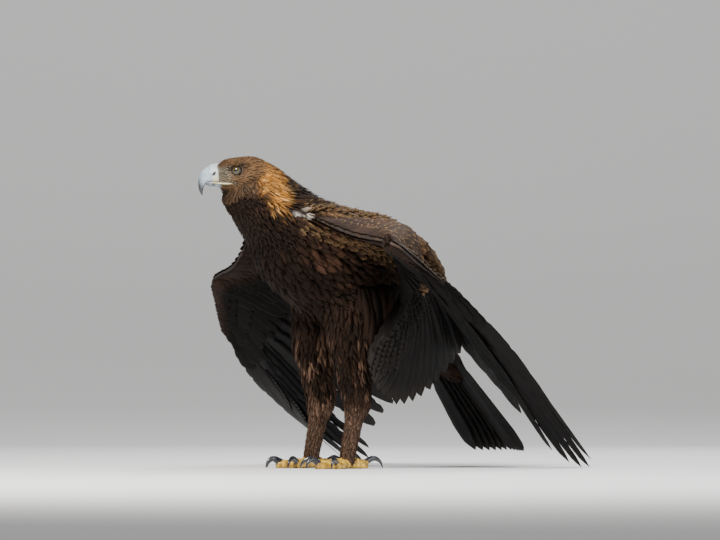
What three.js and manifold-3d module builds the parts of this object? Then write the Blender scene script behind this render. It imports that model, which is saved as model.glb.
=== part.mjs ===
// A golden eagle that stands with both wings half open and its head turned to its right.
// A still, life-size model in millimetres. +Z is up, the bird faces -Y and its left side is +X.
import * as THREE from 'three';
import { mergeVertices } from 'three/addons/utils/BufferGeometryUtils.js';
import Module from 'manifold-3d';

const wasm = await Module();
wasm.setup();

const vec = (x, y, z) => new THREE.Vector3(x, y, z);
const mix = (a, b, t) => a.clone().lerp(b, t);

// Driving dimensions. Every place is measured from the floor under the middle of the shoulders.
const CUT = 0.3; // the thin cut between neighbouring parts
const SMALLEST = 0.12; // detail under this size is left out of a cut part
const MIDDLE = vec(-101.1, 202.6, 0); // the middle of the whole outline on the floor

// Neck and trunk: centre (y, z), half width, height above and depth below the axis.
const BODY = [
  [-66, 483, 40, 38, 53],
  [-34, 456, 50, 52, 64],
  [6, 417, 68, 70, 72],
  [52, 372, 84, 90, 88],
  [112, 338, 88, 88, 92],
  [172, 312, 80, 80, 78],
  [226, 286, 60, 54, 54],
  [274, 256, 48, 32, 42],
  [322, 208, 42, 22, 36],
  [372, 150, 24, 8, 14],
];
const NECK_ENDS_AT = 2.1; // in stations of BODY

// Head, measured from the midpoint between the eyes: forward, up, half width, above, below.
const EYES_MIDDLE = vec(-17, -64, 497);
const HEAD_TURN = THREE.MathUtils.degToRad(35); // to the bird's right
const HEAD = [
  [-66, -34, 22, 20, 26],
  [-52, -24, 34, 24, 38],
  [-36, -14, 37, 27, 42],
  [-18, -8, 35, 31, 38],
  [2, -8, 31, 31, 31],
  [17, -8, 25, 29, 27],
  [27, -9, 19, 25, 24],
  [34, -10, 15, 22, 21],
];
const EYE = { radius: 9, ahead: 2, out: 20.5, up: 0 };

// Bill: forward, up, half width, above and below, along the curved upper half and the lower half.
const UPPER_BILL = [
  [29, -6, 13, 17, 14],
  [41, -5, 12.5, 15, 15.5],
  [51, -8, 10.5, 12, 12.5],
  [58.5, -15, 7.5, 8.5, 8.5],
  [62, -24, 4.6, 5, 5.4],
  [62.5, -33, 2.6, 2.9, 3.2],
  [60.5, -41, 0.6, 0.6, 0.6],
];
const CERE_ENDS_AT = 44.5; // forward of the eyes
const LOWER_BILL = [
  [14, -24, 13, 3, 6],
  [30, -23.5, 12, 4, 5.5],
  [42, -23.2, 9.5, 4, 4.5],
  [50, -22.8, 5.5, 2.5, 2.6],
  [54.5, -22.4, 1.2, 0.8, 0.8],
];

// Tail: twelve feathers on a line across the tail base.
const TAIL = {
  base: vec(0, 252, 284),
  tip: vec(0, 464, 16),
  baseHalf: 26,
  tipHalf: 76,
  feathers: 12,
  arch: 12,
  roundness: 14,
  scallop: 7,
};

// Wings: joints, then the lie of the feathers as directions at the elbow, the wrist and the hand's end.
const PRIMARIES = [400, 425, 450, 492, 570, 605, 620, 620, 600, 505]; // wrist to tip, innermost first
const SECONDARIES = 15;
const SECONDARY_LENGTH = { atElbow: 224, atWrist: 385 };
const ARM_RISE = 22; // how far the secondaries arch over a straight line from root to tip
const LEADING_EDGE = { beforeWrist: 17, beyondWrist: 12, beyondHand: 11 };
const WINGS = {
  left: {
    shoulder: vec(64, 4, 428),
    elbow: vec(110, 186, 391),
    wrist: vec(280, 40, 370),
    handEnd: vec(266, 152, 308),
    sag: 8,
    lie: [vec(-0.03, -0.3, -0.95), vec(-0.51, 0.74, -0.44), vec(-0.26, 0.76, -0.6), vec(-0.12, 0.8, -0.59)],
    bulge: 9,
  },
  right: {
    shoulder: vec(-64, 4, 428),
    elbow: vec(-92, 190, 380),
    wrist: vec(-216, 47, 306),
    handEnd: vec(-294, 108, 222),
    sag: 28,
    lie: [vec(0.05, 0.4, -0.92), vec(0.05, 0.89, -0.45), vec(-0.38, 0.78, -0.49), vec(-0.52, 0.7, -0.485)],
    bulge: -18,
  },
};
const LIE_AT = [0, 1, 1.45, 2]; // where the four directions hold: elbow, wrist, fifth primary, hand end

// Shoulder feathers that lie over the joint of wing and back: out, y, z, half width, above and below.
const MANTLE = [
  [40, -12, 430, 30, 18, 30],
  [58, 40, 421, 44, 27, 40],
  [70, 98, 407, 48, 30, 46],
  [78, 155, 395, 48, 30, 46],
  [77, 214, 372, 42, 25, 40],
  [72, 262, 334, 31, 17, 28],
  [56, 304, 276, 11, 5, 8],
];

// Legs: out, y, z, half width, back and front of the feathered thigh, then of the tarsus.
const LEG = {
  thigh: [
    [34, 118, 316, 34, 44, 40],
    [46, 112, 262, 40, 50, 44],
    [52, 112, 210, 37, 42, 38],
    [53, 120, 160, 29, 32, 31],
    [53, 129, 108, 20, 21, 24],
  ],
  tarsus: [
    [53, 134, 128, 17, 17, 17],
    [53, 122, 80, 15.5, 16, 16],
    [53, 112, 38, 14, 15, 15],
    [53, 108, 14, 14, 14, 15],
  ],
};
const TOES = [
  { name: 'inner', turn: -26, length: 52, radius: 9.5, claw: 38 },
  { name: 'middle', turn: 4, length: 66, radius: 9, claw: 30 },
  { name: 'outer', turn: 34, length: 54, radius: 8.5, claw: 27 },
  { name: 'hind', turn: 176, length: 38, radius: 10, claw: 42 },
];

// A closed solid from points and triangles, turned the right way out.
function solid(points, faces) {
  const vertProperties = new Float32Array(points.flatMap((p) => [p.x, p.y, p.z]));
  const build = (triVerts) => new wasm.Manifold(new wasm.Mesh({ numProp: 3, vertProperties, triVerts }));
  const made = build(new Uint32Array(faces));
  return made.volume() > 0 ? made : build(new Uint32Array(faces.slice().reverse()));
}

// A closed solid over rings of points, with strips across the first and the last ring.
function loft(rings) {
  const count = rings[0].length;
  const last = (rings.length - 1) * count;
  const faces = [];
  for (let start = 0; start < last; start += count) {
    for (let j = 0; j < count; j++) {
      const [a, b] = [start + j, start + ((j + 1) % count)];
      faces.push(a, b, b + count, a, b + count, a + count);
    }
  }
  for (let j = 0; j + 1 < count / 2; j++) {
    const k = count - 1 - j;
    faces.push(j, k, k - 1, j, k - 1, j + 1);
    faces.push(last + j, last + k - 1, last + k, last + j, last + j + 1, last + k - 1);
  }
  return solid(rings.flat(), faces);
}

function fromGeometry(geometry) {
  geometry.deleteAttribute('normal');
  geometry.deleteAttribute('uv');
  const merged = mergeVertices(geometry);
  const at = merged.attributes.position;
  const points = Array.from({ length: at.count }, (_, i) => new THREE.Vector3().fromBufferAttribute(at, i));
  return solid(points, Array.from(merged.index.array));
}

// A tube through stations of centre and size (half width, above, below). Above is across x ahead.
function tube(centres, sizes, across, steps, sides, grow = 0, from = 0, to = 1) {
  const path = new THREE.CatmullRomCurve3(centres, false, 'catmullrom');
  const size = new THREE.CatmullRomCurve3(sizes, false, 'catmullrom');
  const rings = [];
  for (let i = 0; i <= steps; i++) {
    const t = from + ((to - from) * i) / steps;
    const ahead = path.getTangent(t);
    const above = across.clone().cross(ahead).normalize();
    const { x: half, y: up, z: down } = size.getPoint(t);
    const end = i === 0 ? -grow : i === steps ? grow : 0;
    const centre = path.getPoint(t).addScaledVector(ahead, end);
    const ring = [];
    for (let j = 0; j < sides; j++) {
      const angle = ((j + 0.5) * 2 * Math.PI) / sides;
      const rise = Math.sin(angle) * ((angle < Math.PI ? up : down) + grow);
      ring.push(
        centre
          .clone()
          .addScaledVector(across, Math.cos(angle) * (half + grow))
          .addScaledVector(above, rise),
      );
    }
    rings.push(ring);
  }
  return loft(rings);
}

// The room a part takes with the cut around it.
const roomOf = (make) => make(CUT).add(make(0));

// The largest piece of a solid that a cut has left in pieces.
function largest(made) {
  return made.decompose().sort((a, b) => b.volume() - a.volume())[0];
}

function cutBy(made, ...others) {
  return largest(others.reduce((left, other) => left.subtract(other), made).simplify(SMALLEST));
}

// Head frame: ahead is along the bill, across points to the head's right.
const AHEAD = vec(-Math.sin(HEAD_TURN), -Math.cos(HEAD_TURN), 0);
const ACROSS = AHEAD.clone().cross(vec(0, 0, 1));
const onHead = (forward, up, right = 0) =>
  EYES_MIDDLE.clone().addScaledVector(AHEAD, forward).addScaledVector(ACROSS, right).add(vec(0, 0, up));

function headTube(stations, steps, sides, grow, from = 0, to = 1) {
  const centres = stations.map(([forward, up]) => onHead(forward, up));
  const sizes = stations.map(([, , half, above, below]) => vec(half, above, below));
  return tube(centres, sizes, ACROSS, steps, sides, grow, from, to);
}

function eye(side, grow = 0) {
  const ball = fromGeometry(new THREE.SphereGeometry(EYE.radius + grow, 10, 7));
  return ball.translate(onHead(EYE.ahead, EYE.up, side * EYE.out).toArray());
}

const head = (grow = 0) => headTube(HEAD, 10, 14, grow);
const upperBill = (grow = 0) => headTube(UPPER_BILL, 10, 10, grow);
const lowerBill = (grow = 0) => headTube(LOWER_BILL, 6, 10, grow);

// A box that holds everything further ahead of the eyes than a distance.
function aheadOf(distance) {
  const box = new THREE.BoxGeometry(200, 200, 200).translate(0, -100 - distance, 0);
  box.rotateZ(-HEAD_TURN).translate(...EYES_MIDDLE.toArray());
  return fromGeometry(box);
}

function bodyTube(from, to, steps, grow) {
  const centres = BODY.map(([y, z]) => vec(0, y, z));
  const sizes = BODY.map(([, , half, above, below]) => vec(half, above, below));
  const span = BODY.length - 1;
  return tube(centres, sizes, vec(1, 0, 0), steps, 16, grow, from / span, to / span);
}

const neck = (grow = 0) => bodyTube(0, NECK_ENDS_AT, 5, grow);
const trunk = (grow = 0) => bodyTube(NECK_ENDS_AT, BODY.length - 1, 13, grow);

// The floor side of everything, to take small flats off the soles and feather tips.
const underFloor = fromGeometry(new THREE.BoxGeometry(2000, 2000, 200).translate(0, 0, -100));

// Value at a place in a list of [place, value], with straight runs between.
function keyed(list, place) {
  const next = list.findIndex(([at]) => at >= place);
  if (next <= 0) return next < 0 ? list.at(-1)[1] : list[0][1];
  const [[a, low], [b, high]] = [list[next - 1], list[next]];
  return low + ((high - low) * (place - a)) / (b - a);
}

// A curved sheet: columns run from the front edge (s = 0) over the feather roots (s = 1) to the tips
// (s = 4). Its thickness is laid off to both sides along the normal.
function sheet(column, places, stations, half, grow = 0) {
  const normalAt = (q, s) => {
    const d = 0.01;
    const low = Math.max(s - d, 0);
    const high = Math.min(s + d, 4);
    const along = column(q, high).sub(column(q, low));
    const over = column(q + d, s).sub(column(q - d, s));
    return over.cross(along).normalize();
  };
  const rings = places.map((q, i) => {
    const top = [];
    const bottom = [];
    const next = column(places[Math.min(i + 1, places.length - 1)], 1);
    const side = next.sub(column(places[Math.max(i - 1, 0)], 1)).normalize();
    const push = i === 0 ? -grow : i === places.length - 1 ? grow : 0;
    stations.forEach((s, j) => {
      const centre = column(q, s).addScaledVector(side, push);
      const end = j === 0 ? -grow : j === stations.length - 1 ? grow : 0;
      const run = column(q, Math.min(s + 0.01, 4)).sub(column(q, Math.max(s - 0.01, 0))).normalize();
      centre.addScaledVector(run, end);
      const lift = normalAt(q, s).multiplyScalar(half(q, s) + grow);
      top.push(centre.clone().add(lift));
      bottom.unshift(centre.sub(lift));
    });
    return [...top, ...bottom];
  });
  return loft(rings);
}

// Wing surface. q runs from the elbow (0) over the wrist (1) to the hand's end (2).
function wingShape(wing) {
  const { shoulder, elbow, wrist, handEnd, bulge } = wing;
  const lie = wing.lie.map((direction) => direction.clone().normalize());
  const lieAt = (q) => {
    const at = THREE.MathUtils.clamp(q, 0, 2);
    const i = at < LIE_AT[1] ? 0 : at < LIE_AT[2] ? 1 : 2;
    return mix(lie[i], lie[i + 1], (at - LIE_AT[i]) / (LIE_AT[i + 1] - LIE_AT[i])).normalize();
  };
  const lengths = PRIMARIES.map((length, k) => [1 + (k + 0.5) / PRIMARIES.length, length]);
  const root = (q) => (q < 1 ? mix(elbow, wrist, q) : mix(wrist, handEnd, q - 1));
  const tip = (q) => {
    const { atElbow, atWrist } = SECONDARY_LENGTH;
    if (q < 1) return root(q).addScaledVector(lieAt(q), THREE.MathUtils.lerp(atElbow, atWrist, q));
    return wrist.clone().addScaledVector(lieAt(q), keyed([[1, atWrist], ...lengths], q));
  };
  const outward = lie[3].clone().multiplyScalar(lie[3].dot(lie[1])).sub(lie[1]).normalize();
  const { beforeWrist, beyondWrist, beyondHand } = LEADING_EDGE;
  const wristFront = wrist.clone().addScaledVector(lie[1], -beforeWrist).addScaledVector(outward, beyondWrist);
  const handFront = handEnd.clone().addScaledVector(outward, beyondHand);
  const fore = new THREE.CatmullRomCurve3(
    [
      shoulder,
      mix(shoulder, wristFront, 0.5).add(vec(0, 0, -wing.sag)),
      wristFront,
      mix(wristFront, handFront, 0.5),
      handFront,
    ],
    false,
    'catmullrom',
  );
  const front = (q) => fore.getPoint(THREE.MathUtils.clamp(q / 2, 0, 1));
  const handTop = lie[2].clone().cross(lie[1]).normalize();
  const armTop = wrist.clone().sub(elbow).cross(mix(lie[0], lie[1], 0.5)).normalize();
  for (const top of [handTop, armTop]) if (top.y < 0) top.negate();
  const column = (q, s) => {
    const [from, to] = [root(q), tip(q)];
    const up = mix(armTop, handTop, THREE.MathUtils.smoothstep(q, 0.6, 1.4)).normalize();
    const rise = THREE.MathUtils.lerp(ARM_RISE, bulge, THREE.MathUtils.smoothstep(q, 0.6, 1.6));
    const middle = (f) => mix(from, to, f).addScaledVector(up, rise * 4 * f * (1 - f));
    const points = [front(q), from, middle(1 / 3), middle(2 / 3), to];
    return new THREE.CatmullRomCurve3(points, false, 'catmullrom').getPoint(s / 4);
  };
  return { column, handTop };
}

const ARM_HALF = [[0, 6], [0.35, 13], [1, 25], [1.5, 22], [2, 11], [2.6, 4], [4, 0.8]];
const HAND_HALF = [[0, 5], [0.5, 10], [1, 13], [1.5, 9], [2, 4], [2.6, 1.8], [4, 0.8]];
const wingHalf = (q, s) => {
  const share = THREE.MathUtils.smoothstep(q, 0.5, 1.2);
  const thinning = 1 - 0.55 * THREE.MathUtils.smoothstep(q, 1.4, 2);
  const elbow = 0.6 + 0.4 * THREE.MathUtils.smoothstep(q, 0, 0.3);
  return THREE.MathUtils.lerp(keyed(ARM_HALF, s) * elbow, keyed(HAND_HALF, s) * thinning, share);
};

// Places of the columns: every feather's middle and the seams between feathers.
const halfSteps = (from, to, feathers) =>
  Array.from({ length: 2 * feathers + 1 }, (_, i) => from + ((to - from) * i) / (2 * feathers));

const COVERTS_END = 2.15;
const NOTCH = 0.66; // how far along the long primaries the hand's web runs
const NOTCH_AT = [1.38, 1.44]; // between the fourth and the fifth primary
const SCALLOP = 0.035; // depth of the notches between the feather tips, as a share of the length
const FINGER_HALF = [[0.5, 20], [0.66, 22], [0.8, 18], [0.93, 12], [1, 3]]; // by share of the length
const FIRST_FINGER = 5;
const FINGER_STAGGER = 0.8; // every other finger lies this much higher, the others lower
const EDGE_GAP = 0.014; // where the flight feathers start behind the coverts, in s

function makeWing(wing) {
  const shape = wingShape(wing);
  // The reach of a column falls at each seam, which scallops the edge, and at the fingers' notches.
  const reach = (q) => {
    const feather = q < 1 ? q * SECONDARIES : (q - 1) * PRIMARIES.length;
    const seam = 2 * Math.abs(feather - Math.round(feather));
    const full = 1 - SCALLOP * (1 - seam);
    return full - (1 - NOTCH) * THREE.MathUtils.smoothstep(q, ...NOTCH_AT);
  };
  const vane = (q, s) => {
    const share = (s - COVERTS_END) / (4 - COVERTS_END);
    return shape.column(q, COVERTS_END + share * (4 * reach(q) - COVERTS_END));
  };
  const inner = halfSteps(0.02, 1, 5);
  const outer = halfSteps(1, 2, 4);
  const front = [0, 0.15, 0.5, 1, 1.5, COVERTS_END];
  const back = [COVERTS_END, 3, 4];
  const shift = (list, by) => list.map((s, i) => (i ? s : s + by));
  const arm = (grow = 0) => sheet(shape.column, inner, front, wingHalf, grow);
  const hand = (grow = 0) => sheet(shape.column, outer, front, wingHalf, grow);
  const secondaries = (grow = 0) =>
    sheet(vane, halfSteps(0.02, 0.985, SECONDARIES), shift(back, EDGE_GAP), wingHalf, grow);
  const web = sheet(vane, halfSteps(1, 2, PRIMARIES.length), shift(back, EDGE_GAP), wingHalf);
  const fingers = [];
  for (let k = FIRST_FINGER; k <= PRIMARIES.length; k++) fingers.push(finger(shape, k));
  return { arm, hand, secondaries, primaries: [web, ...fingers] };
}

// The free outer part of one long primary, as a narrowing blade.
function finger(shape, k) {
  const q = 1 + (k - 0.5) / PRIMARIES.length;
  const steps = 3;
  const rings = [];
  for (let i = 0; i <= steps; i++) {
    const share = 0.5 + (0.5 * i) / steps;
    const at = 1 + 3 * share;
    const centre = shape.column(q, at);
    const along = shape.column(q, Math.min(at + 0.02, 4)).sub(shape.column(q, at - 0.02)).normalize();
    const over = shape.handTop.clone().cross(along).normalize();
    const up = along.clone().cross(over).normalize();
    const half = keyed(FINGER_HALF, share);
    const thick = 1.1 - 0.5 * share;
    centre.addScaledVector(up, k % 2 ? FINGER_STAGGER : -FINGER_STAGGER);
    const corner = (a, b) => centre.clone().addScaledVector(over, a * half).addScaledVector(up, b * thick);
    rings.push([corner(-1, 0), corner(0, 1), corner(1, 0), corner(0, -1)]);
  }
  return loft(rings);
}

// Tail: a flat fan, thick with coverts near its base and scalloped at its tips.
const TAIL_HALF = [[0, 20], [0.5, 19], [1, 15], [1.6, 9], [2.2, 4], [3, 1.6], [4, 0.8]];

function tail(grow = 0) {
  const { base, tip, baseHalf, tipHalf, arch, roundness, scallop, feathers } = TAIL;
  const lie = tip.clone().sub(base).normalize();
  const top = vec(1, 0, 0).cross(lie).normalize();
  const column = (q, s) => {
    const across = 2 * q - 1;
    const seam = 2 * Math.abs(q * feathers - Math.round(q * feathers));
    const from = base.clone().add(vec(across * baseHalf, 0, 0));
    const to = tip.clone().add(vec(across * tipHalf, 0, 0));
    to.addScaledVector(lie, -roundness * across * across - scallop * (1 - seam));
    return mix(from, to, s / 4).addScaledVector(top, arch * (1 - across * across) * Math.sin((Math.PI * s) / 8));
  };
  const half = (q, s) => keyed(TAIL_HALF, s);
  return sheet(column, halfSteps(0, 1, feathers), [0, 1, 2.2, 4], half, grow);
}

function mantleTube(side) {
  const centres = MANTLE.map(([out, y, z]) => vec(side * out, y, z));
  const sizes = MANTLE.map(([, , , half, above, below]) => vec(half, above, below));
  return tube(centres, sizes, vec(1, 0, 0), 8, 12);
}

// Legs and feet.
function legTube(stations, side, sides, grow) {
  const centres = stations.map(([out, y, z]) => vec(side * out, y, z));
  const sizes = stations.map(([, , , half, above, below]) => vec(half, above, below));
  return tube(centres, sizes, vec(1, 0, 0), 6, sides, grow);
}

function toePath(toe, side) {
  const [out, y, z] = LEG.tarsus.at(-1);
  const turn = THREE.MathUtils.degToRad(side * toe.turn);
  const way = vec(Math.sin(turn), -Math.cos(turn), 0);
  const start = vec(side * out, y, z);
  return { start, way };
}

// A toe tapers from the ankle outward.
function toe(spec, side, grow = 0) {
  const { start, way } = toePath(spec, side);
  const at = (run, z) => start.clone().addScaledVector(way, run).setZ(z);
  const { length, radius } = spec;
  const taper = [1.15, 1, 0.92, 0.78];
  const lift = [0.4, 0, -1, -1]; // of the toe's axis over its own radius, so that the pads rest flat
  const centres = taper.map((share, i) => at(-4 + ((length + 4) * i) / 3, radius * share + lift[i]));
  const size = taper.map((share) => vec(radius, radius, radius).multiplyScalar(share));
  return tube(centres, size, way.clone().cross(vec(0, 0, 1)), 3, 8, grow);
}

// A claw leaves its toe upward, arches over and comes down to a point just over the floor.
function claw(spec, side, grow = 0) {
  const { start, way } = toePath(spec, side);
  const { length, radius, claw: reach } = spec;
  const at = (run, z) => start.clone().addScaledVector(way, length + run).setZ(z);
  const centres = [at(-6, 9), at(reach * 0.28, radius + 7), at(reach * 0.6, radius + 2), at(reach * 0.74, 1.1)];
  const size = [5.4, 4.6, 2.8, 0.7].map((half) => vec(half * 0.85, half, half));
  return tube(centres, size, way.clone().cross(vec(0, 0, 1)), 4, 6, grow);
}

function foot(side, grow = 0) {
  const parts = TOES.map((spec) => toe(spec, side, grow));
  return parts.reduce((all, next) => all.add(next)).subtract(underFloor);
}

// Finishes: colour and roughness.
const FINISH = {
  dark: ['#2a211c', 0.8],
  brown: ['#4a3526', 0.8],
  gold: ['#b07a3c', 0.8],
  quill: ['#1d1a19', 0.7],
  horn: ['#8f9aa3', 0.35],
  cere: ['#c9c2a0', 0.5],
  eye: ['#8a6a2c', 0.1],
  foot: ['#c9a227', 0.6],
  claw: ['#1a1a1c', 0.3],
};
const eagle = new THREE.Group();

function add(name, made, finish) {
  const { vertProperties, triVerts, numProp } = made.getMesh();
  if (numProp !== 3) throw new Error(`${name} carries more than places`);
  const geometry = new THREE.BufferGeometry();
  geometry.setAttribute('position', new THREE.BufferAttribute(vertProperties, 3));
  geometry.setIndex(new THREE.BufferAttribute(triVerts, 1));
  geometry.computeVertexNormals();
  const [color, roughness] = FINISH[finish];
  const mesh = new THREE.Mesh(geometry, new THREE.MeshStandardMaterial({ color, roughness }));
  mesh.name = name;
  eagle.add(mesh);
}

// Head, eyes and bill.
const eyes = { left: eye(-1), right: eye(1) };
const billHalves = { upper: upperBill(), lower: lowerBill() };
const beyondCere = aheadOf(CERE_ENDS_AT);
add('eye_left', eyes.left, 'eye');
add('eye_right', eyes.right, 'eye');
add('bill_upper', cutBy(billHalves.upper.intersect(beyondCere)), 'horn');
add('cere', cutBy(billHalves.upper, aheadOf(CERE_ENDS_AT - CUT)), 'cere');
add('bill_lower', cutBy(billHalves.lower, upperBill(CUT)), 'horn');
const bill = upperBill(CUT).add(lowerBill(CUT));
add('head', cutBy(head(), bill, eye(-1, CUT), eye(1, CUT)), 'brown');
add('neck', cutBy(neck(), head(CUT)), 'gold');

// Trunk and legs.
const trunkSolid = cutBy(trunk(), neck(CUT), head(CUT));
const trunkRoom = trunk(CUT).add(neck(CUT)).add(head(CUT));
add('trunk', trunkSolid, 'dark');
const thighRoom = [];
for (const [name, side] of [['left', 1], ['right', -1]]) {
  const thigh = (grow) => legTube(LEG.thigh, side, 14, grow);
  const tarsus = (grow) => legTube(LEG.tarsus, side, 10, grow);
  add(`thigh_${name}`, cutBy(thigh(0), trunkRoom), 'brown');
  add(`tarsus_${name}`, cutBy(tarsus(0), thigh(CUT), underFloor), 'brown');
  add(`foot_${name}`, cutBy(foot(side), tarsus(CUT), thigh(CUT)), 'foot');
  for (const spec of TOES) {
    add(`claw_${spec.name}_${name}`, cutBy(claw(spec, side), foot(side, CUT), underFloor), 'claw');
  }
  thighRoom.push(thigh(CUT));
}
add('tail', cutBy(tail(), trunkRoom), 'quill');

// Wings.
const tailRoom = tail(CUT);
for (const name of ['left', 'right']) {
  const wing = makeWing(WINGS[name]);
  const room = [trunkRoom, tailRoom, ...thighRoom];
  const [armRoom, handRoom, secondaryRoom] = [wing.arm, wing.hand, wing.secondaries].map(roomOf);
  add(`wing_${name}_arm`, cutBy(wing.arm(), ...room, handRoom), 'brown');
  add(`wing_${name}_hand`, cutBy(wing.hand(), ...room), 'brown');
  const side = name === 'left' ? 1 : -1;
  const mantle = cutBy(mantleTube(side), ...room, armRoom, handRoom, secondaryRoom);
  add(`mantle_${name}`, mantle, 'brown');
  const [web, ...fingers] = wing.primaries;
  const primaries = fingers.reduce((all, next) => all.add(next), web);
  const secondaries = cutBy(wing.secondaries(), ...room, armRoom, handRoom);
  add(`wing_${name}_secondaries`, secondaries, 'quill');
  const cut = cutBy(primaries, ...room, armRoom, handRoom, secondaryRoom, underFloor);
  add(`wing_${name}_primaries`, cut, 'quill');
}

eagle.position.copy(MIDDLE).negate();
eagle.updateMatrixWorld(true);

export default eagle;
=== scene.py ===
"""A golden eagle on its feet with both wings half open: skin, feathers, bill, eyes and feet over the solids.

Places are in millimetres, measured from the floor under the middle of the shoulders as in the solids, and
are turned into metres of the shared frame when a piece is made. +Z is up and the bird faces -Y.
"""

import math

import bpy
import numpy as np
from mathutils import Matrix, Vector


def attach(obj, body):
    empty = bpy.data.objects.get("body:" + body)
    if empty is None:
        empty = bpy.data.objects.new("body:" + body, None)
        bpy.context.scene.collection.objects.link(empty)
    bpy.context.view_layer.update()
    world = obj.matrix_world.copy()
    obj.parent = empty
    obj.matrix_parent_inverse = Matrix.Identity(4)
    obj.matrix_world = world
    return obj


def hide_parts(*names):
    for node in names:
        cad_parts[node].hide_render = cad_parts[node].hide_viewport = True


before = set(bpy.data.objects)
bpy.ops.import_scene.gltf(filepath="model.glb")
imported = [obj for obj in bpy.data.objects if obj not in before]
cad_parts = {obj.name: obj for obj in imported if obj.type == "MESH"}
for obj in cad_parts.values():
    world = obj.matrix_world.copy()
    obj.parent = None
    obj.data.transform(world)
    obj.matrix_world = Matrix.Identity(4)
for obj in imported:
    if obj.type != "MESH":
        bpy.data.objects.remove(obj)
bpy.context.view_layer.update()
rng = np.random.default_rng(11)

MIDDLE = np.array([-101.1, 202.6, 0.0])

# Neck and trunk: centre (y, z), half width, height above and depth below the axis.
BODY = [
    (-66, 483, 40, 38, 53), (-34, 456, 50, 52, 64), (6, 417, 68, 70, 72), (52, 372, 84, 90, 88),
    (112, 338, 88, 88, 92), (172, 312, 80, 80, 78), (226, 286, 60, 54, 54), (274, 256, 48, 32, 42),
    (322, 208, 42, 22, 36), (372, 150, 24, 8, 14),
]
BODY_SPAN = len(BODY) - 1
NECK_ENDS = 2.3 / BODY_SPAN
NECK_SLOPE_FOOT = 421

# Head, from the midpoint between the eyes: forward, up, half width, above, below.
EYES_MIDDLE = np.array([-17.0, -64.0, 497.0])
HEAD_TURN = math.radians(35)
HEAD = [
    (-66, -34, 22, 20, 26), (-52, -24, 34, 24, 38), (-36, -14, 37, 27, 42), (-18, -8, 35, 31, 38),
    (2, -8, 31, 31, 31), (17, -8, 25, 29, 27), (27, -9, 19, 25, 24), (34, -10, 15, 22, 21),
]
EYE_RADIUS, EYE_AHEAD, EYE_OUT = 9.0, 2.0, 20.5
LID_RADIUS, LID_PROUD, LID_HALF = 6.9, 5.6, (1.7, 1.5)
UPPER_BILL = [
    (29, -6, 13, 17, 14), (41, -5, 12.5, 15, 15.5), (51, -8, 10.5, 12, 12.5), (58.5, -15, 7.5, 8.5, 8.5),
    (62, -24, 4.6, 5, 5.4), (62.5, -33, 2.6, 2.9, 3.2), (60.5, -41, 0.6, 0.6, 0.6),
]
CERE_ENDS_AT = 44.5
MOUTH_LINE = -21.5
LOWER_BILL = [
    (14, -24, 13, 3, 6), (30, -23.5, 12, 4, 5.5), (42, -23.2, 9.5, 4, 4.5), (50, -22.8, 5.5, 2.5, 2.6),
    (54.5, -22.4, 1.2, 0.8, 0.8),
]

MANTLE = [
    (40, -12, 430, 30, 18, 30), (58, 40, 421, 44, 27, 40), (70, 98, 407, 48, 30, 46),
    (78, 155, 395, 48, 30, 46), (77, 214, 372, 42, 25, 40), (72, 262, 334, 31, 17, 28),
    (56, 304, 276, 11, 5, 8),
]
THIGH = [
    (34, 118, 316, 34, 44, 40), (46, 112, 262, 40, 50, 44), (52, 112, 210, 37, 42, 38),
    (53, 120, 160, 29, 32, 31), (53, 129, 108, 20, 21, 24),
]
TARSUS = [
    (53, 134, 128, 17, 17, 17), (53, 122, 80, 15.5, 16, 16), (53, 112, 38, 14, 15, 15),
    (53, 108, 14, 14, 14, 15),
]
ANKLE = (53.0, 108.0)
# Toes: name, turn from straight ahead in degrees, length, half thickness, reach of the claw in mm.
TOES = [
    ("inner", -26, 52, 9.5, 38), ("middle", 4, 66, 9.0, 30), ("outer", 34, 54, 8.5, 27),
    ("hind", 176, 38, 10.0, 42),
]

TAIL_BASE, TAIL_TIP = np.array([0.0, 252.0, 284.0]), np.array([0.0, 464.0, 16.0])
TAIL_HALF, TAIL_FEATHERS = (26.0, 76.0), 12
TAIL_ARCH, TAIL_ROUNDNESS = 12, 14

PRIMARIES = [400, 425, 450, 492, 570, 605, 620, 620, 600, 505]
SECONDARIES = 15
SECONDARY_LENGTH = (224, 161)  # at the elbow, and how much longer at the wrist
ARM_RISE = 22.0
WINGS = {
    "left": dict(
        shoulder=(64, 4, 428), elbow=(110, 186, 391), wrist=(280, 40, 370), hand_end=(266, 152, 308),
        sag=8,
        lie=[(-0.03, -0.3, -0.95), (-0.51, 0.74, -0.44), (-0.26, 0.76, -0.6), (-0.12, 0.8, -0.59)], bulge=9,
    ),
    "right": dict(
        shoulder=(-64, 4, 428), elbow=(-92, 190, 380), wrist=(-216, 47, 306), hand_end=(-294, 108, 222),
        sag=28,
        lie=[(0.05, 0.4, -0.92), (0.05, 0.89, -0.45), (-0.38, 0.78, -0.49), (-0.52, 0.7, -0.485)], bulge=-18,
    ),
}
LIE_AT = np.array([0, 1, 1.45, 2])
ARM_HALF = ([0, 0.35, 1, 1.5, 2, 2.6, 4], [6, 13, 25, 22, 11, 4, 0.8])
HAND_HALF = ([0, 0.5, 1, 1.5, 2, 2.6, 4], [5, 10, 13, 9, 4, 1.8, 0.8])


UP = np.array([0, 0, 1.0])


def unit(v):
    """Each vector over its own length."""
    return v / np.maximum(np.linalg.norm(v, axis=-1, keepdims=True), 1e-9)


def dot(a, b):
    """Sum of the products along the last axis, which stays."""
    return (a * b).sum(-1, keepdims=True)


def smooth(x, low, high):
    """0 up to low and 1 from high, with the cubic 3 t^2 - 2 t^3 between."""
    t = np.clip((x - low) / (high - low), 0, 1)
    return t * t * (3 - 2 * t)


def mix(a, b, t):
    """Straight from a at t = 0 to b at t = 1."""
    return a + (b - a) * t


def blend(tone, other, share):
    """Colours mixed with another colour, by a share for each point."""
    return mix(tone, other, share[:, None])


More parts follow.
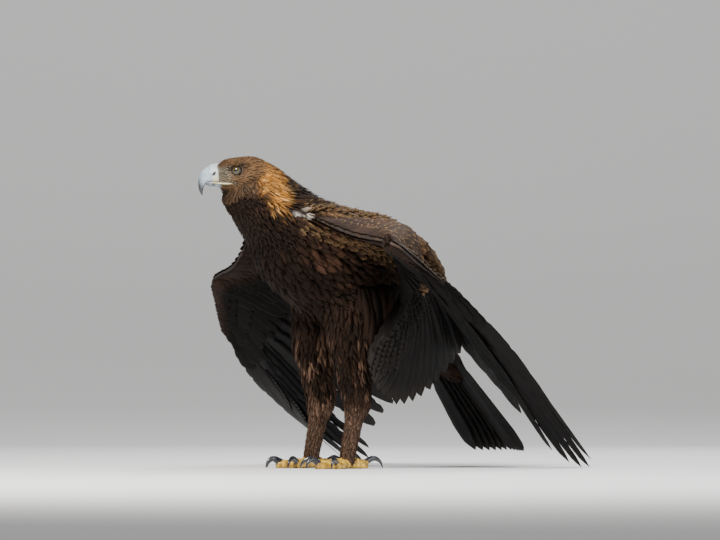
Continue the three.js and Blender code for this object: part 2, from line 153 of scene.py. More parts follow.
def turns(count):
    """Evenly spaced angles round a circle."""
    return np.arange(count) * math.tau / count


def round_end(v, start, power, least=0.0):
    """Width of a rounded end over v: 1 up to start, then the root of 1 less a power of the way to the tip."""
    return np.sqrt(np.clip(1 - np.clip((v - start) / (1 - start), 0, 1) ** power, least, 1))


def to_frame(points):
    """Metres of the shared frame for places in mm."""
    return (np.asarray(points, float) - MIDDLE) / 1000


def linear(code):
    """An sRGB hex colour as linear red, green and blue."""
    value = np.array([int(code[i : i + 2], 16) for i in (1, 3, 5)]) / 255
    return np.where(value <= 0.04045, value / 12.92, ((value + 0.055) / 1.055) ** 2.4)


def spline(points, t):
    """Catmull-Rom curve through the points, at t from 0 to 1, prolonged straight beyond its ends."""
    points = np.broadcast_to(points, t.shape + np.shape(points)[-2:])
    first = 2 * points[..., :1, :] - points[..., 1:2, :]
    last = 2 * points[..., -1:, :] - points[..., -2:-1, :]
    padded = np.concatenate([first, points, last], -2)
    runs = points.shape[-2] - 1
    place = np.clip(t, 0, 1) * runs
    i = np.minimum(place.astype(int), runs - 1)
    f = (place - i)[..., None]
    a, b, c, d = (np.take_along_axis(padded, (i + k)[..., None, None], -2)[..., 0, :] for k in range(4))
    return 0.5 * (2 * b + (c - a) * f + (2 * a - 5 * b + 4 * c - d) * f**2 + (3 * b - 3 * c + d - a) * f**3)


def noise(points, size, seed=0):
    """Soft value noise, 0 to 1: random values on a lattice of that size in mm, blended with eased weights."""
    place = points / size + seed * 17.3
    cell = np.floor(place).astype(np.int64)
    f = place - cell
    f = f * f * (3 - 2 * f)
    total = 0
    for corner in np.ndindex(2, 2, 2):
        at = cell + corner
        mixed = (at[..., 0] * 73856093) ^ (at[..., 1] * 19349663) ^ (at[..., 2] * 83492791)
        value = np.abs(np.sin((mixed & 0xFFFF) * 12.9898)) * 43758.5453 % 1
        weight = np.where(corner, f, 1 - f).prod(-1)
        total = total + value * weight
    return total


class Tube:
    """A form of flesh: an ellipse whose centre and half sizes (across, above, below) follow splines over t.

    A point is centre + across x cos(angle) x half + above x sin(angle) x (above or below), where above is
    the across direction turned a quarter round the way ahead."""

    def __init__(self, centres, sizes, across=(1, 0, 0)):
        self.centres, self.sizes = np.array(centres, float), np.array(sizes, float)
        self.across = unit(np.array(across, float))

    def frame(self, t):
        """Centre, way ahead, across, above and the half sizes at t. Ahead is the step over 0.002 of t."""
        ahead = spline(self.centres, np.minimum(t + 1e-3, 1)) - spline(self.centres, np.maximum(t - 1e-3, 0))
        ahead = unit(ahead)
        across = np.broadcast_to(self.across, ahead.shape)
        return spline(self.centres, t), ahead, across, unit(np.cross(across, ahead)), spline(self.sizes, t)

    def point(self, t, angle, wide=1.0, high=1.0):
        """The point at an angle round the ellipse at t, with factors for its width and height."""
        centre, _, across, above, size = self.frame(t)
        height = np.where(np.sin(angle) > 0, size[..., 1], size[..., 2]) * high
        out = (np.cos(angle) * size[..., 0] * wide)[..., None]
        return centre + across * out + above * (np.sin(angle) * height)[..., None]


AHEAD = np.array([-math.sin(HEAD_TURN), -math.cos(HEAD_TURN), 0.0])
ACROSS = np.cross(AHEAD, UP)


def on_head(forward, up, right=0.0):
    """Place on the head: forward, up and right of the midpoint between the eyes."""
    parts = [np.asarray(v, float)[..., None] for v in (forward, right, up)]
    return EYES_MIDDLE + parts[0] * AHEAD + parts[1] * ACROSS + parts[2] * UP


def head_tube(stations):
    """A tube along the head, from its stations (forward, up, half width, above, below)."""
    table = np.array(stations, float)
    return Tube(on_head(table[:, 0], table[:, 1]), table[:, 2:], ACROSS)


def side_tube(stations, side):
    """A tube on the bird's left (side 1) or right (side -1), from stations (x, y, z, half width, above,
    below)."""
    table = np.array(stations, float)
    return Tube(table[:, :3] * (side, 1, 1), table[:, 3:])


SIDES = {"left": 1, "right": -1}
FORMS = {
    "body": side_tube([(0, *station) for station in BODY], 1),
    "head": head_tube(HEAD),
}
for side_name, side_sign in SIDES.items():
    FORMS[f"mantle_{side_name}"] = side_tube(MANTLE, side_sign)
    FORMS[f"thigh_{side_name}"] = side_tube(THIGH, side_sign)
    FORMS[f"tarsus_{side_name}"] = side_tube(TARSUS, side_sign)
STATIONS = {name: form.frame(np.linspace(0, 1, 60)) for name, form in FORMS.items()}
MELT = 7.0  # mm over which neighbouring forms run into each other
FLAT_ENDED = ("body", "head")


def field(points, only=None):
    """Height over the outline of all forms, melted together, and the way outward.

    For each form, the nearest place of its axis gives the scaled distance r in its ellipse, and the height is
    the distance from the axis times (1 - 1 / r). The heights are joined by a soft minimum over MELT mm, and
    the ways outward by the same weights."""
    heights, ways = [], []
    for name, (centre, ahead, across, above, size) in STATIONS.items():
        if only and name not in only:
            continue
        far = ((points[:, None, :] - centre) ** 2).sum(-1)
        i = far.argmin(1)
        rel = points - centre[i]
        x, z, a = (dot(rel, axis[i])[:, 0] for axis in (across, above, ahead))
        half = np.maximum(size[i, 0], 0.5)
        high = np.maximum(np.where(z > 0, size[i, 1], size[i, 2]), 0.5)
        end = np.where(((i == 0) & (a < 0)) | ((i == len(centre) - 1) & (a > 0)), a, 0.0)
        deep = np.minimum(half, high)
        flat = name in FLAT_ENDED
        r = np.sqrt((x / half) ** 2 + (z / high) ** 2 + (0 if flat else (end / deep) ** 2)) + 1e-6
        reach = np.sqrt(x**2 + z**2 + (0 if flat else end**2))
        height = reach - reach / r
        if flat:
            beyond = np.where(height > 0, np.hypot(height, end), np.maximum(height, np.abs(end)))
            height = np.where(np.abs(end) > 0, beyond, height)
        heights.append(height)
        way = across[i] * (x / half**2)[:, None] + above[i] * (z / high**2)[:, None]
        ways.append(unit(way + ahead[i] * (end / deep**2)[:, None]))
    heights = np.array(heights)
    low = heights.min(0)
    weight = np.exp(-np.minimum((heights - low) / MELT, 40))
    total = weight.sum(0)
    outward = unit((weight[..., None] * np.array(ways)).sum(0))
    return low - MELT * np.log(total) + face_relief(points), outward


def face_relief(points):
    """How far the face lies under its plain form: a socket round each eye, less a brow ridge over it."""
    rel = points - EYES_MIDDLE
    forward, up, right = rel @ AHEAD, rel[:, 2], np.abs(rel @ ACROSS)
    outer = smooth(right, 12, 18)
    socket = 1 - smooth(np.hypot(forward - EYE_AHEAD, up + 0.5), 6.0, 13.5)
    ridge = 8.2 - 0.12 * (forward - EYE_AHEAD) - 0.006 * (forward - EYE_AHEAD) ** 2
    brow = np.exp(-(((up - ridge) / 2.6) ** 2)) * smooth(forward, -18, -8) * (1 - smooth(forward, 18, 26))
    return outer * (5.5 * socket - 6.5 * brow)


def on_cell(cell, u, v):
    """Places on the skin's unwrap for shares of a cell's width and height."""
    return np.array(cell[:2]) + np.array(cell[2:]) * np.column_stack([u, v])


def coat_depth(points):
    """Depth of the coat in mm: 2 on the face, 3 at the feet and 9 on the body."""
    from_face = np.linalg.norm(points - EYES_MIDDLE, axis=-1)
    body = mix(2.0, 9.0, smooth(from_face, 38, 105))
    return np.minimum(body, mix(3.0, 9.0, smooth(points[..., 2], 60, 220)))


class Wing:
    """The middle surface of one wing. q runs from the elbow (0) over the wrist (1) to the hand's end (2), and
    s from the leading edge (0) over the feather roots (1) to the tips (4). A column is a spline from the
    leading edge through the root and two arched places to the tip."""

    def __init__(self, spec):
        for key in ("shoulder", "elbow", "wrist", "hand_end"):
            setattr(self, key, np.array(spec[key], float))
        self.lie = unit(np.array(spec["lie"], float))
        self.bulge = spec["bulge"]
        outward = unit(self.lie[3] * self.lie[3].dot(self.lie[1]) - self.lie[1])
        wrist_front = self.wrist - 17 * self.lie[1] + 12 * outward
        hand_front = self.hand_end + 11 * outward
        sagging = (self.shoulder + wrist_front) / 2 - UP * spec["sag"]
        between = (wrist_front + hand_front) / 2
        self.fore = np.array([self.shoulder, sagging, wrist_front, between, hand_front])
        hand_top = unit(np.cross(self.lie[2], self.lie[1]))
        arm_top = unit(np.cross(self.wrist - self.elbow, (self.lie[0] + self.lie[1]) / 2))
        self.hand_top, self.arm_top = (top * np.sign(top[1]) for top in (hand_top, arm_top))

    def lie_at(self, q):
        """The way from root to tip, between the wing's four given ways."""
        return unit(np.stack([np.interp(q, LIE_AT, self.lie[:, k]) for k in range(3)], -1))

    def up(self, q):
        """The side that faces up, turned evenly from the arm's to the hand's."""
        return unit(mix(self.arm_top, self.hand_top, smooth(q, 0.6, 1.4)[..., None]))

    def column(self, q, s):
        """The point at s on the column at q: its root lies on the bones, its tip a feather's length along
        the lie, and the two places between are raised over the straight line by 4 f (1 - f) of the rise."""
        q, s = np.broadcast_arrays(np.asarray(q, float), np.asarray(s, float))
        on_arm = mix(self.elbow, self.wrist, np.minimum(q, 1)[..., None])
        root = np.where(q[..., None] < 1, on_arm, mix(self.wrist, self.hand_end, (q[..., None] - 1)))
        places = np.concatenate([[1], 1 + (np.arange(10) + 0.5) / 10])
        length = np.interp(q, places, [sum(SECONDARY_LENGTH), *PRIMARIES])
        arm_tip = root + self.lie_at(q) * (SECONDARY_LENGTH[0] + SECONDARY_LENGTH[1] * q)[..., None]
        tip = np.where(q[..., None] < 1, arm_tip, self.wrist + self.lie_at(q) * length[..., None])
        rise = mix(ARM_RISE, self.bulge, smooth(q, 0.6, 1.6))[..., None] * self.up(q)
        front = spline(self.fore, np.clip(q / 2, 0, 1))
        third = [mix(root, tip, f) + rise * 4 * f * (1 - f) for f in (1 / 3, 2 / 3)]
        return spline(np.stack([front, root, *third, tip], -2), s / 4)

    def frame(self, q, s):
        """Along the column, across towards the hand's end, and the normal of the upper side."""
        d = 0.01
        along = unit(self.column(q, np.minimum(s + d, 4)) - self.column(q, np.maximum(s - d, 0)))
        over = unit(self.column(q + d, s) - self.column(q - d, s))
        normal = unit(np.cross(over, along))
        normal = normal * np.sign(dot(normal, self.up(q)))
        return along, unit(np.cross(along, normal)) * np.sign(dot(np.cross(along, normal), over)), normal

    def half(self, q, s):
        """Half the thickness of flesh and coat."""
        hand = np.interp(s, *HAND_HALF) * (1 - 0.55 * smooth(q, 1.4, 2))
        arm = np.interp(s, *ARM_HALF) * (0.6 + 0.4 * smooth(q, 0, 0.3))
        return mix(arm, hand, smooth(q, 0.5, 1.2))


WING = {name: Wing(spec) for name, spec in WINGS.items()}

def over_neck(points):
    """Distance over the plane that slopes down at 45 degrees along the middle of the neck."""
    return (points[:, 1] + points[:, 2] - NECK_SLOPE_FOOT) / 1.414


# Colours of the plumage. The quill and under colours are the dark brown of the flight feathers and the
# underwing, darkened to near black with painted shade.
TONES = {
    name: linear(code)
    for name, code in dict(
        body="#251910", warm="#402b1f", gold="#c08037", pale_gold="#ecb66c", crown="#5f4734",
        cheek="#5d4836", lore="#7b7566", rust="#7a5544", white="#cbc4ba", tan="#7f6250",
        shank="#5c483b", covert="#2f2119", fringe="#b08d63", quill="#0b0909", under="#100d0c",
        grey="#5d544c", chin="#241a14",
    ).items()
}


def dark_body(points, fine, broad):
    """Dark brown with warmer clouds, made near black by painted shade under the belly and on the flanks, and
    worn over the shoulders. fine and broad are noise of 14 and 45 mm."""
    x, y, z = points.T
    tone = blend(TONES["body"], TONES["warm"], 0.75 * smooth(0.55 * fine + 0.45 * broad, 0.35, 0.8))
    # Painted shade: the breast and belly under the slope of the neck, and the flanks under the wing, go down
    # to 0.42 of the tone.
    under = smooth(-over_neck(points), -10, 45) * smooth(400 - z, -40, 40)
    flank = smooth(y, 20, 100) * smooth(400 - z, 0, 60) * mix(0.5, 1.0, smooth(z, 150, 240))
    tone = tone * mix(1.0, 0.42, np.maximum(under, flank))[:, None]
    shoulder = smooth(np.abs(x), 44, 66) * smooth(z, 340, 372) * smooth(y, -30, 20)
    worn = blend(TONES["covert"], TONES["warm"] * 1.5, smooth(fine, 0.35, 0.8))
    return blend(tone, worn, 0.8 * shoulder)


def golden_nape(tone, points, fine, broad):
    """Golden tufts over the slope of the neck behind the head; towards the shoulders the gold gives way to
    dark brown, as painted shade.
    """
    y, forward = points[:, 1], (points - EYES_MIDDLE) @ AHEAD
    above = over_neck(points) + 9 * (fine - 0.5)
    # Painted shade: towards the back (larger y) the gold gives way to the dark body tone.
    gold = smooth(above, -28, -8) * (1 - smooth(y + 14 * (broad - 0.5), -50, -26))
    gold = gold * (1 - smooth(forward + 10 * (fine - 0.5), -42, -24))
    golden = blend(TONES["gold"], TONES["pale_gold"], smooth(noise(points, 7.0, 3), 0.35, 0.9))
    tufts = smooth(0.6 * above + 50 * (noise(points, 20.0, 4) - 0.3), -28, 8)
    return blend(tone, blend(TONES["crown"], golden, tufts), gold)


def brown_face(tone, points):
    """Brown crown and cheeks, a dark chin, grey lores and a painted shadow in a dark line over the eye."""
    rel = points - EYES_MIDDLE
    forward, up = rel @ AHEAD, rel[:, 2]
    face = blend(TONES["cheek"], TONES["crown"], smooth(up, -8, 8))
    face = blend(face, TONES["chin"], smooth(-up, 26, 40))
    lores = smooth(forward, 11, 22) * smooth(up, -24, -16) * (1 - smooth(up, 2, 9))
    face = blend(face, TONES["lore"], 0.85 * lores)
    # Painted shadow of the brow ridge, in a dark line just over the eye.
    brow_shadow = np.exp(-(((up - 8.5 + 0.12 * forward) / 3.2) ** 2))
    brow_shadow = brow_shadow * smooth(forward, -16, -6) * (1 - smooth(forward, 16, 24))
    face = blend(face, TONES["quill"], 0.8 * brow_shadow)
    return blend(tone, face, smooth(forward, -44, -22) * smooth(up, -62, -44))


def streaked_legs(tone, points):
    """Tan streaks, drawn out along the leg, on thighs that pass into paler shanks."""
    x, y, z = points.T
    stretched = points * np.array([1, 1, 0.28])
    streak = smooth(noise(stretched, 9.0, 5), 0.52, 0.78) * smooth(260 - z, 0, 50) * smooth(y, 40, 60)
    legs = (1 - smooth(np.abs(np.abs(x) - 50), 44, 60)) * (1 - smooth(y, 165, 190))
    tone = blend(tone, TONES["tan"], 0.55 * streak * legs)
    return blend(tone, TONES["shank"], 0.6 * (1 - smooth(z, 90, 150)) * legs)


# Patches at the left shoulder: place, radius, tone, share of the tone.
SHOULDER_PATCHES = [((80, 26, 356), 16, "rust", 0.25), ((76, -10, 425), 11.5, "white", 0.9)]


def markings_and_shade(points):
    """Colour of skin and coat at a place: body, nape, face, the patches at the left shoulder, and legs, with
    the painted shade on the belly, flanks and back of the neck and the painted shadow over the eyes.
    """
    fine, broad = noise(points, 14.0, 1), noise(points, 45.0, 2)
    tone = dark_body(points, fine, broad)
    tone = golden_nape(tone, points, fine, broad)
    tone = brown_face(tone, points)
    for place, radius, name, share in SHOULDER_PATCHES:
        away = np.linalg.norm(points - np.array(place), axis=1) + 9 * (fine - 0.5)
        tone = blend(tone, TONES[name], share * (1 - smooth(away, radius * 0.6, radius)))
    return streaked_legs(tone, points)


# Meshes. All are rings of points, closed at both ends.
def add_object(name, data):
    """A new object at the origin, in the scene."""
    made = bpy.data.objects.new(name, data)
    bpy.context.scene.collection.objects.link(made)
    return made


def make_object(name, vertices, quads, caps):
    """A mesh object from points in mm, quads and cap polygons, with every face outward."""
    points = to_frame(vertices)
    a, b, c, d = (points[quads[:, k]] for k in range(4))
    centre = points.mean(0)
    volume = sum(((a - centre) * np.cross(e - centre, f - centre)).sum() for e, f in ((b, c), (c, d)))
    lists = [quads, caps]
    if volume < 0:
        lists = [faces[:, ::-1] for faces in lists]
    totals = np.concatenate([np.full(len(faces), faces.shape[1]) for faces in lists])
    loops = np.concatenate([faces.ravel() for faces in lists])
    mesh = bpy.data.meshes.new(name)
    mesh.vertices.add(len(points))
    mesh.vertices.foreach_set("co", points.astype(np.float32).ravel())
    mesh.loops.add(len(loops))
    mesh.loops.foreach_set("vertex_index", loops.astype(np.int32))
    mesh.polygons.add(len(totals))
    mesh.polygons.foreach_set("loop_start", np.concatenate([[0], totals.cumsum()[:-1]]).astype(np.int32))
    mesh.polygons.foreach_set("loop_total", totals.astype(np.int32))
    mesh.update(calc_edges=True)
    mesh.polygons.foreach_set("use_smooth", np.ones(len(totals), bool))
    return add_object(name, mesh), loops


def ring_faces(count, rings, around):
    """Quads between neighbouring rings of each of count shells, and polygons over their two ends."""
    index = np.arange(count * rings * around).reshape(count, rings, around)
    turned = np.roll(index, -1, 2)
    quads = np.stack([index[:, :-1], turned[:, :-1], turned[:, 1:], index[:, 1:]], -1).reshape(-1, 4)
    caps = np.concatenate([index[:, 0, ::-1], index[:, -1]])
    return quads, caps


def shells(name, rings, tint, maps=None, seed=None):
    """Closed shells from rings (shell, ring, around, 3), with a colour per point and UV maps per point."""
    count, steps, around = rings.shape[:3]
    quads, caps = ring_faces(count, steps, around)
    made, loops = make_object(name, rings.reshape(-1, 3), quads, caps)
    mesh = made.data
    for label, values in (maps or {}).items():
        layer = mesh.uv_layers.new(name=label)
        layer.data.foreach_set("uv", values.reshape(-1, 2)[loops].astype(np.float32).ravel())
    paint(mesh, tint)
    if seed is not None:
        layer = mesh.attributes.new("Seed", "FLOAT", "POINT")
        layer.data.foreach_set("value", np.repeat(seed, steps * around).astype(np.float32))
    return made


def paint(mesh, tint):
    """Stores a linear colour for each point of the mesh."""
    flat = tint.reshape(-1, 3)
    layer = mesh.color_attributes.new("Tint", "FLOAT_COLOR", "POINT")
    layer.data.foreach_set("color", np.column_stack([flat, np.ones(len(flat))]).astype(np.float32).ravel())


def points_of(mesh):
    """The mesh's points in metres of the shared frame."""
    flat = np.empty(len(mesh.vertices) * 3, np.float32)
    mesh.vertices.foreach_get("co", flat)
    return flat.reshape(-1, 3)


def finish_piece(made, material, slot, *nodes):
    """Gives a piece its material and hides the solids that it replaces. The slot is not used."""
    made.data.materials.append(material)
    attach(made, "root")
    if nodes:
        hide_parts(*nodes)
    return made


# Materials.
def node(tree, kind, inputs=None, **settings):
    """Adds a node with its settings, and sets or links its inputs."""
    made = tree.nodes.new(kind)
    for key, value in settings.items():
        setattr(made, key, value)
    for key, value in (inputs or {}).items():
        if isinstance(value, bpy.types.NodeSocket):
            tree.links.new(value, made.inputs[key])
        else:
            made.inputs[key].default_value = value
    return made


def material(name, **fixed):
    """A new material with its shader, whose plain sockets are set directly."""
    made = bpy.data.materials.new(name)
    made.use_nodes = True
    tree = made.node_tree
    shader = tree.nodes["Principled BSDF"]
    for key, value in fixed.items():
        shader.inputs[key.replace("_", " ")].default_value = value
    return made, tree, shader


def maths(tree, operation, *values):
    """Result of one sum on numbers or sockets."""
    return node(tree, "ShaderNodeMath", dict(enumerate(values)), operation=operation).outputs[0]


def ramp(tree, value, low, high, to_low=0.0, to_high=1.0):
    """A value from low to high, moved in a straight line to the other two limits."""
    inputs = {"Value": value, "From Min": low, "From Max": high, "To Min": to_low, "To Max": to_high}
    return node(tree, "ShaderNodeMapRange", inputs).outputs[0]


def scaled(tree, colour, factor):
    """A colour times a number."""
    channels = dict.fromkeys(("Red", "Green", "Blue"), factor)
    grey = node(tree, "ShaderNodeCombineColor", channels).outputs[0]
    inputs = {0: 1.0, 6: colour, 7: grey}
    return node(tree, "ShaderNodeMix", inputs, data_type="RGBA", blend_type="MULTIPLY").outputs[2]


def painted(tree, shader, factor, rough, relief, depth, strength=1.0):
    """Links the shader to the mesh's own colours times a factor, to a roughness, and to a relief of that
    depth in metres."""
    tint = node(tree, "ShaderNodeVertexColor", layer_name="Tint").outputs[0]
    bump = node(tree, "ShaderNodeBump", {"Height": relief, "Distance": depth, "Strength": strength})
    tree.links.new(scaled(tree, tint, factor), shader.inputs["Base Color"])
    tree.links.new(rough, shader.inputs["Roughness"])
    tree.links.new(bump.outputs[0], shader.inputs["Normal"])


def plumage_material(name, roughness, specular, barbs, contrast):
    """Vane of barbs. Slanting streaks from the shaft outward part the barbs, darken the clefts and give a
    silky, broken gloss, and a broad mottling keeps the coat from looking even."""
    made, tree, shader = material(name, Specular_IOR_Level=specular)
    seed = node(tree, "ShaderNodeAttribute", attribute_name="Seed").outputs["Fac"]
    place = node(tree, "ShaderNodeUVMap", uv_map="Vane").outputs[0]
    split = node(tree, "ShaderNodeSeparateXYZ", {0: place})
    off = maths(tree, "ABSOLUTE", maths(tree, "SUBTRACT", split.outputs[0], 0.5))
    slant = maths(tree, "SUBTRACT", split.outputs[1], maths(tree, "MULTIPLY", off, 0.55))
    scales = ((slant, barbs), (off, 3.0), (seed, 60.0))
    parts = {i: maths(tree, "MULTIPLY", value, scale) for i, (value, scale) in enumerate(scales)}
    where = node(tree, "ShaderNodeCombineXYZ", parts).outputs[0]
    inputs = {"Vector": where, "Scale": 1.0, "Detail": 3.0, "Roughness": 0.6}
    streaks = node(tree, "ShaderNodeTexNoise", inputs).outputs["Fac"]
    body = node(tree, "ShaderNodeTexCoord").outputs["Object"]
    mottle = node(tree, "ShaderNodeTexNoise", {"Vector": body, "Scale": 45.0, "Detail": 2.0}).outputs["Fac"]
    shaft = ramp(tree, off, 0.0, 0.07, 0.72, 1.0)
    factor = maths(tree, "MULTIPLY", ramp(tree, streaks, 0.3, 0.7, 1 - contrast, 1 + contrast), shaft)
    factor = maths(tree, "MULTIPLY", factor, ramp(tree, mottle, 0.3, 0.7, 0.86, 1.14))
    rough = ramp(tree, streaks, 0.3, 0.7, roughness - 0.1, roughness + 0.12)
    painted(tree, shader, factor, rough, streaks, 0.0006, 0.7)
    return made


def tinted_material(name, scale, contrast, roughness, bump, kind="ShaderNodeTexNoise", **fixed):
    """Painted surface with a grain of that many to the metre: it darkens the colour, breaks the gloss and
    gives relief of a depth in metres."""
    made, tree, shader = material(name, **fixed)
    body = node(tree, "ShaderNodeTexCoord").outputs["Object"]
    grain_node = node(tree, kind, {"Vector": body, "Scale": scale})
    grain = grain_node.outputs["Fac" if kind == "ShaderNodeTexNoise" else "Distance"]
    level = ramp(tree, grain, 0.2, 0.8, 1 - contrast, 1 + contrast)
    rough = ramp(tree, grain, 0.2, 0.8, roughness * 0.8, roughness * 1.2)
    painted(tree, shader, level, rough, grain, bump)
    return made


# Barbs of a real vane are 0.1 to 0.3 mm apart and too fine to show, so each streak stands for a clump of
# them. The number is of streaks along one feather: 1 to 3 mm apart on the coat and 2 to 7 mm on the long
# flight feathers.
# Body feathers: keratin with loose soft barbs, which scatters the light and looks matt.
CONTOUR = plumage_material("contour_feathers_barbed", 0.74, 0.1, 26.0, 0.34)
# Nape hackles: the same, but combed into points, with a faint silky gloss.
HACKLE = plumage_material("nape_hackles_silky", 0.66, 0.12, 18.0, 0.34)
# Flight feathers: barbs zipped into one stiff web, which gives an even satin gloss and less contrast.
FLIGHT = plumage_material("flight_feathers_stiff_satin", 0.6, 0.12, 90.0, 0.22)
# Skin: matt, with pores about 1 mm apart (900 to the metre).
SKIN = tinted_material("bird_skin_fine_pored", 900.0, 0.2, 0.7, 0.0003)
# Bill: smooth polished keratin with cloudy layers 4 mm across under a thin gloss.
HORN = tinted_material(
    "bill_horn_polished", 260.0, 0.12, 0.26, 0.00006, Coat_Weight=0.35, Coat_Roughness=0.15
)
# Cere: soft waxy skin with a 2 mm grain that lets a little light in.
CERE = tinted_material("cere_skin_waxy", 520.0, 0.1, 0.42, 0.00025, Subsurface_Weight=0.08)
# Toes: horny scales 5 mm across, glossier in the middle of each.
SCALES = tinted_material(
    "toe_skin_scaled", 210.0, 0.28, 0.5, 0.0008, "ShaderNodeTexVoronoi", Coat_Weight=0.1
)
# Claws: dense black keratin, polished by wear, with a grain of 3 mm.
TALON = tinted_material(
    "talon_horn_black", 320.0, 0.2, 0.24, 0.00008, Coat_Weight=0.4, Coat_Roughness=0.1
)
# Eye: a wet film over the cornea, whose index is 1.376, gives sharp highlights.
EYE = tinted_material(
    "eye_wet", 1400.0, 0.25, 0.08, 0.00002, Coat_Weight=1.0, Coat_Roughness=0.02, IOR=1.376
)


# Vanes.
SMALL_COLUMNS = np.array([-1.0, 0.0, 1.0])
COVERT_COLUMNS = np.array([-1.0, -0.72, 0.0, 0.72, 1.0])
LARGE_COLUMNS = np.array([-1.0, -0.6, -0.09, 0.0, 0.09, 0.6, 1.0])


def vanes(name, line, across, up, left, right, thick, camber, tint, patch, columns, rachis=0.0):
    """Thin closed feathers. Each station of a centre line gets a flat ring: the upper face runs from the left
    edge to the right edge, lowered by camber x offset^1.5 at the sides and raised by the shaft, and the lower
    face comes back under it. tint gives the colour (vane, station, column)."""
    count, steps = line.shape[:2]
    ring, colours, us = [], [], []
    lower = range(len(columns) - 2, 0, -1)
    for k, sign in [(k, 1) for k in range(len(columns))] + [(k, -1) for k in lower]:
        c = columns[k]
        width = (left if c < 0 else right)[..., None]
        lift = sign * thick[..., None] * (1 - abs(c)) + (rachis * (abs(c) < 0.05) * (sign > 0))
        ring.append(line + across * c * width + up * (lift - camber * abs(c) ** 1.5 * width))
        # Painted shade: the lower face of each vane gets 0.8 of the colour.
        colours.append(tint[:, :, k] * (1.0 if sign > 0 else 0.8))
        us.append(np.full((count, steps), 0.5 + 0.5 * c))
    rings, colours = np.stack(ring, 2), np.stack(colours, 2)
    u = np.stack(us, 2)
    v = np.broadcast_to(np.linspace(0, 1, steps)[None, :, None], u.shape)
    vane_map = np.stack([u, v], -1)
    bake_map = patch[:, None, None, :] + (vane_map - 0.5) * 0.003
    return shells(name, rings, colours, {"OFBake": bake_map, "Vane": vane_map}, rng.random(count))


def shaded(base, v, columns, tip_share, tip_tone, root_shade=0.6, shaft_dark=0.85):
    """Colour (vane, station, column) of feathers: darker at the root as painted shade under the feathers
    before it, darker along the shaft, with a paler worn tip.
    """
    v = v[None, :, None]
    edge = np.abs(columns)[None, None, :]
    level = mix(root_shade, 1.0, smooth(v, 0.0, 0.45)) * mix(shaft_dark, 1.0, np.minimum(edge * 3, 1))
    worn = np.maximum(smooth(v, 0.86, 0.98), smooth(edge, 0.72, 0.98) * smooth(v, 0.5, 0.8))
    share = (tip_share[:, None, None] * worn)[..., None]
    return mix(base[:, None, None, :] * level[..., None], tip_tone, share)


def march(point, way, length, depth, lift, stand, v):
    """Centre lines that start at the skin and step along the coat, each held at its height over the skin:
    a share of the coat's depth that grows with v, and at the tip as much more as it stands off."""
    line, across, up = [], [], []
    for i, share in enumerate(v):
        if i:
            point = point + way * (length * (share - v[i - 1]))[:, None]
        height, normal = field(point)
        level = -depth + depth * lift * share**0.8 + stand * share**2
        point = point - normal * (height - level)[:, None]
        way = unit(way - normal * dot(way, normal))
        line.append(point)
        across.append(unit(np.cross(way, normal)))
        up.append(normal)
    return (np.stack(part, 1) for part in (line, across, up))


def body_coat(name, form, start, end, spec, kind, cell, stations=8, backwards=False, keep=None):
    """Feathers in staggered rows round one form. spec(points) gives row step, gap, length, width share,
    pointedness and how worn the tips are."""
    tube = FORMS[form]
    ts, angles = [], []
    t, row = start, 0
    while t < end:
        here = np.array([t])
        middle = tube.frame(here)[0]
        rim = tube.point(np.full(24, t), turns(24))
        look = spec(rim)
        around = np.linalg.norm(rim - np.roll(rim, 1, 0), axis=1).sum()
        number = max(int(around / look["gap"].mean()), 6)
        angle = (np.arange(number) + 0.5 * (row % 2) + rng.uniform(-0.3, 0.3, number)) * math.tau / number
        ts.append(np.full(number, t) + rng.uniform(-0.25, 0.25, number) * look["row"].mean() * 1e-3)
        angles.append(angle)
        ahead_step = np.linalg.norm(tube.frame(here + 1e-3)[0] - middle) / 1e-3
        t += look["row"].mean() / ahead_step
        row += 1
    t, angle = np.clip(np.concatenate(ts), 0.001, 0.999), np.concatenate(angles)
    root = tube.point(t, angle)
    height = field(root)[0]
    own = field(root, only=[form])[0]
    seen = (height > own - 9) & (height > -10)
    if keep is not None:
        seen &= keep(root)
    t, angle, root = t[seen], angle[seen], root[seen]
    step = 2e-3
    way = unit(tube.point(np.minimum(t + step, 1), angle) - tube.point(np.maximum(t - step, 0), angle))
    way = -way if backwards else way
    patch = on_cell(cell, angle / math.tau % 1, t)
    return lay_coat(name, root, way, spec, kind, patch, stations)


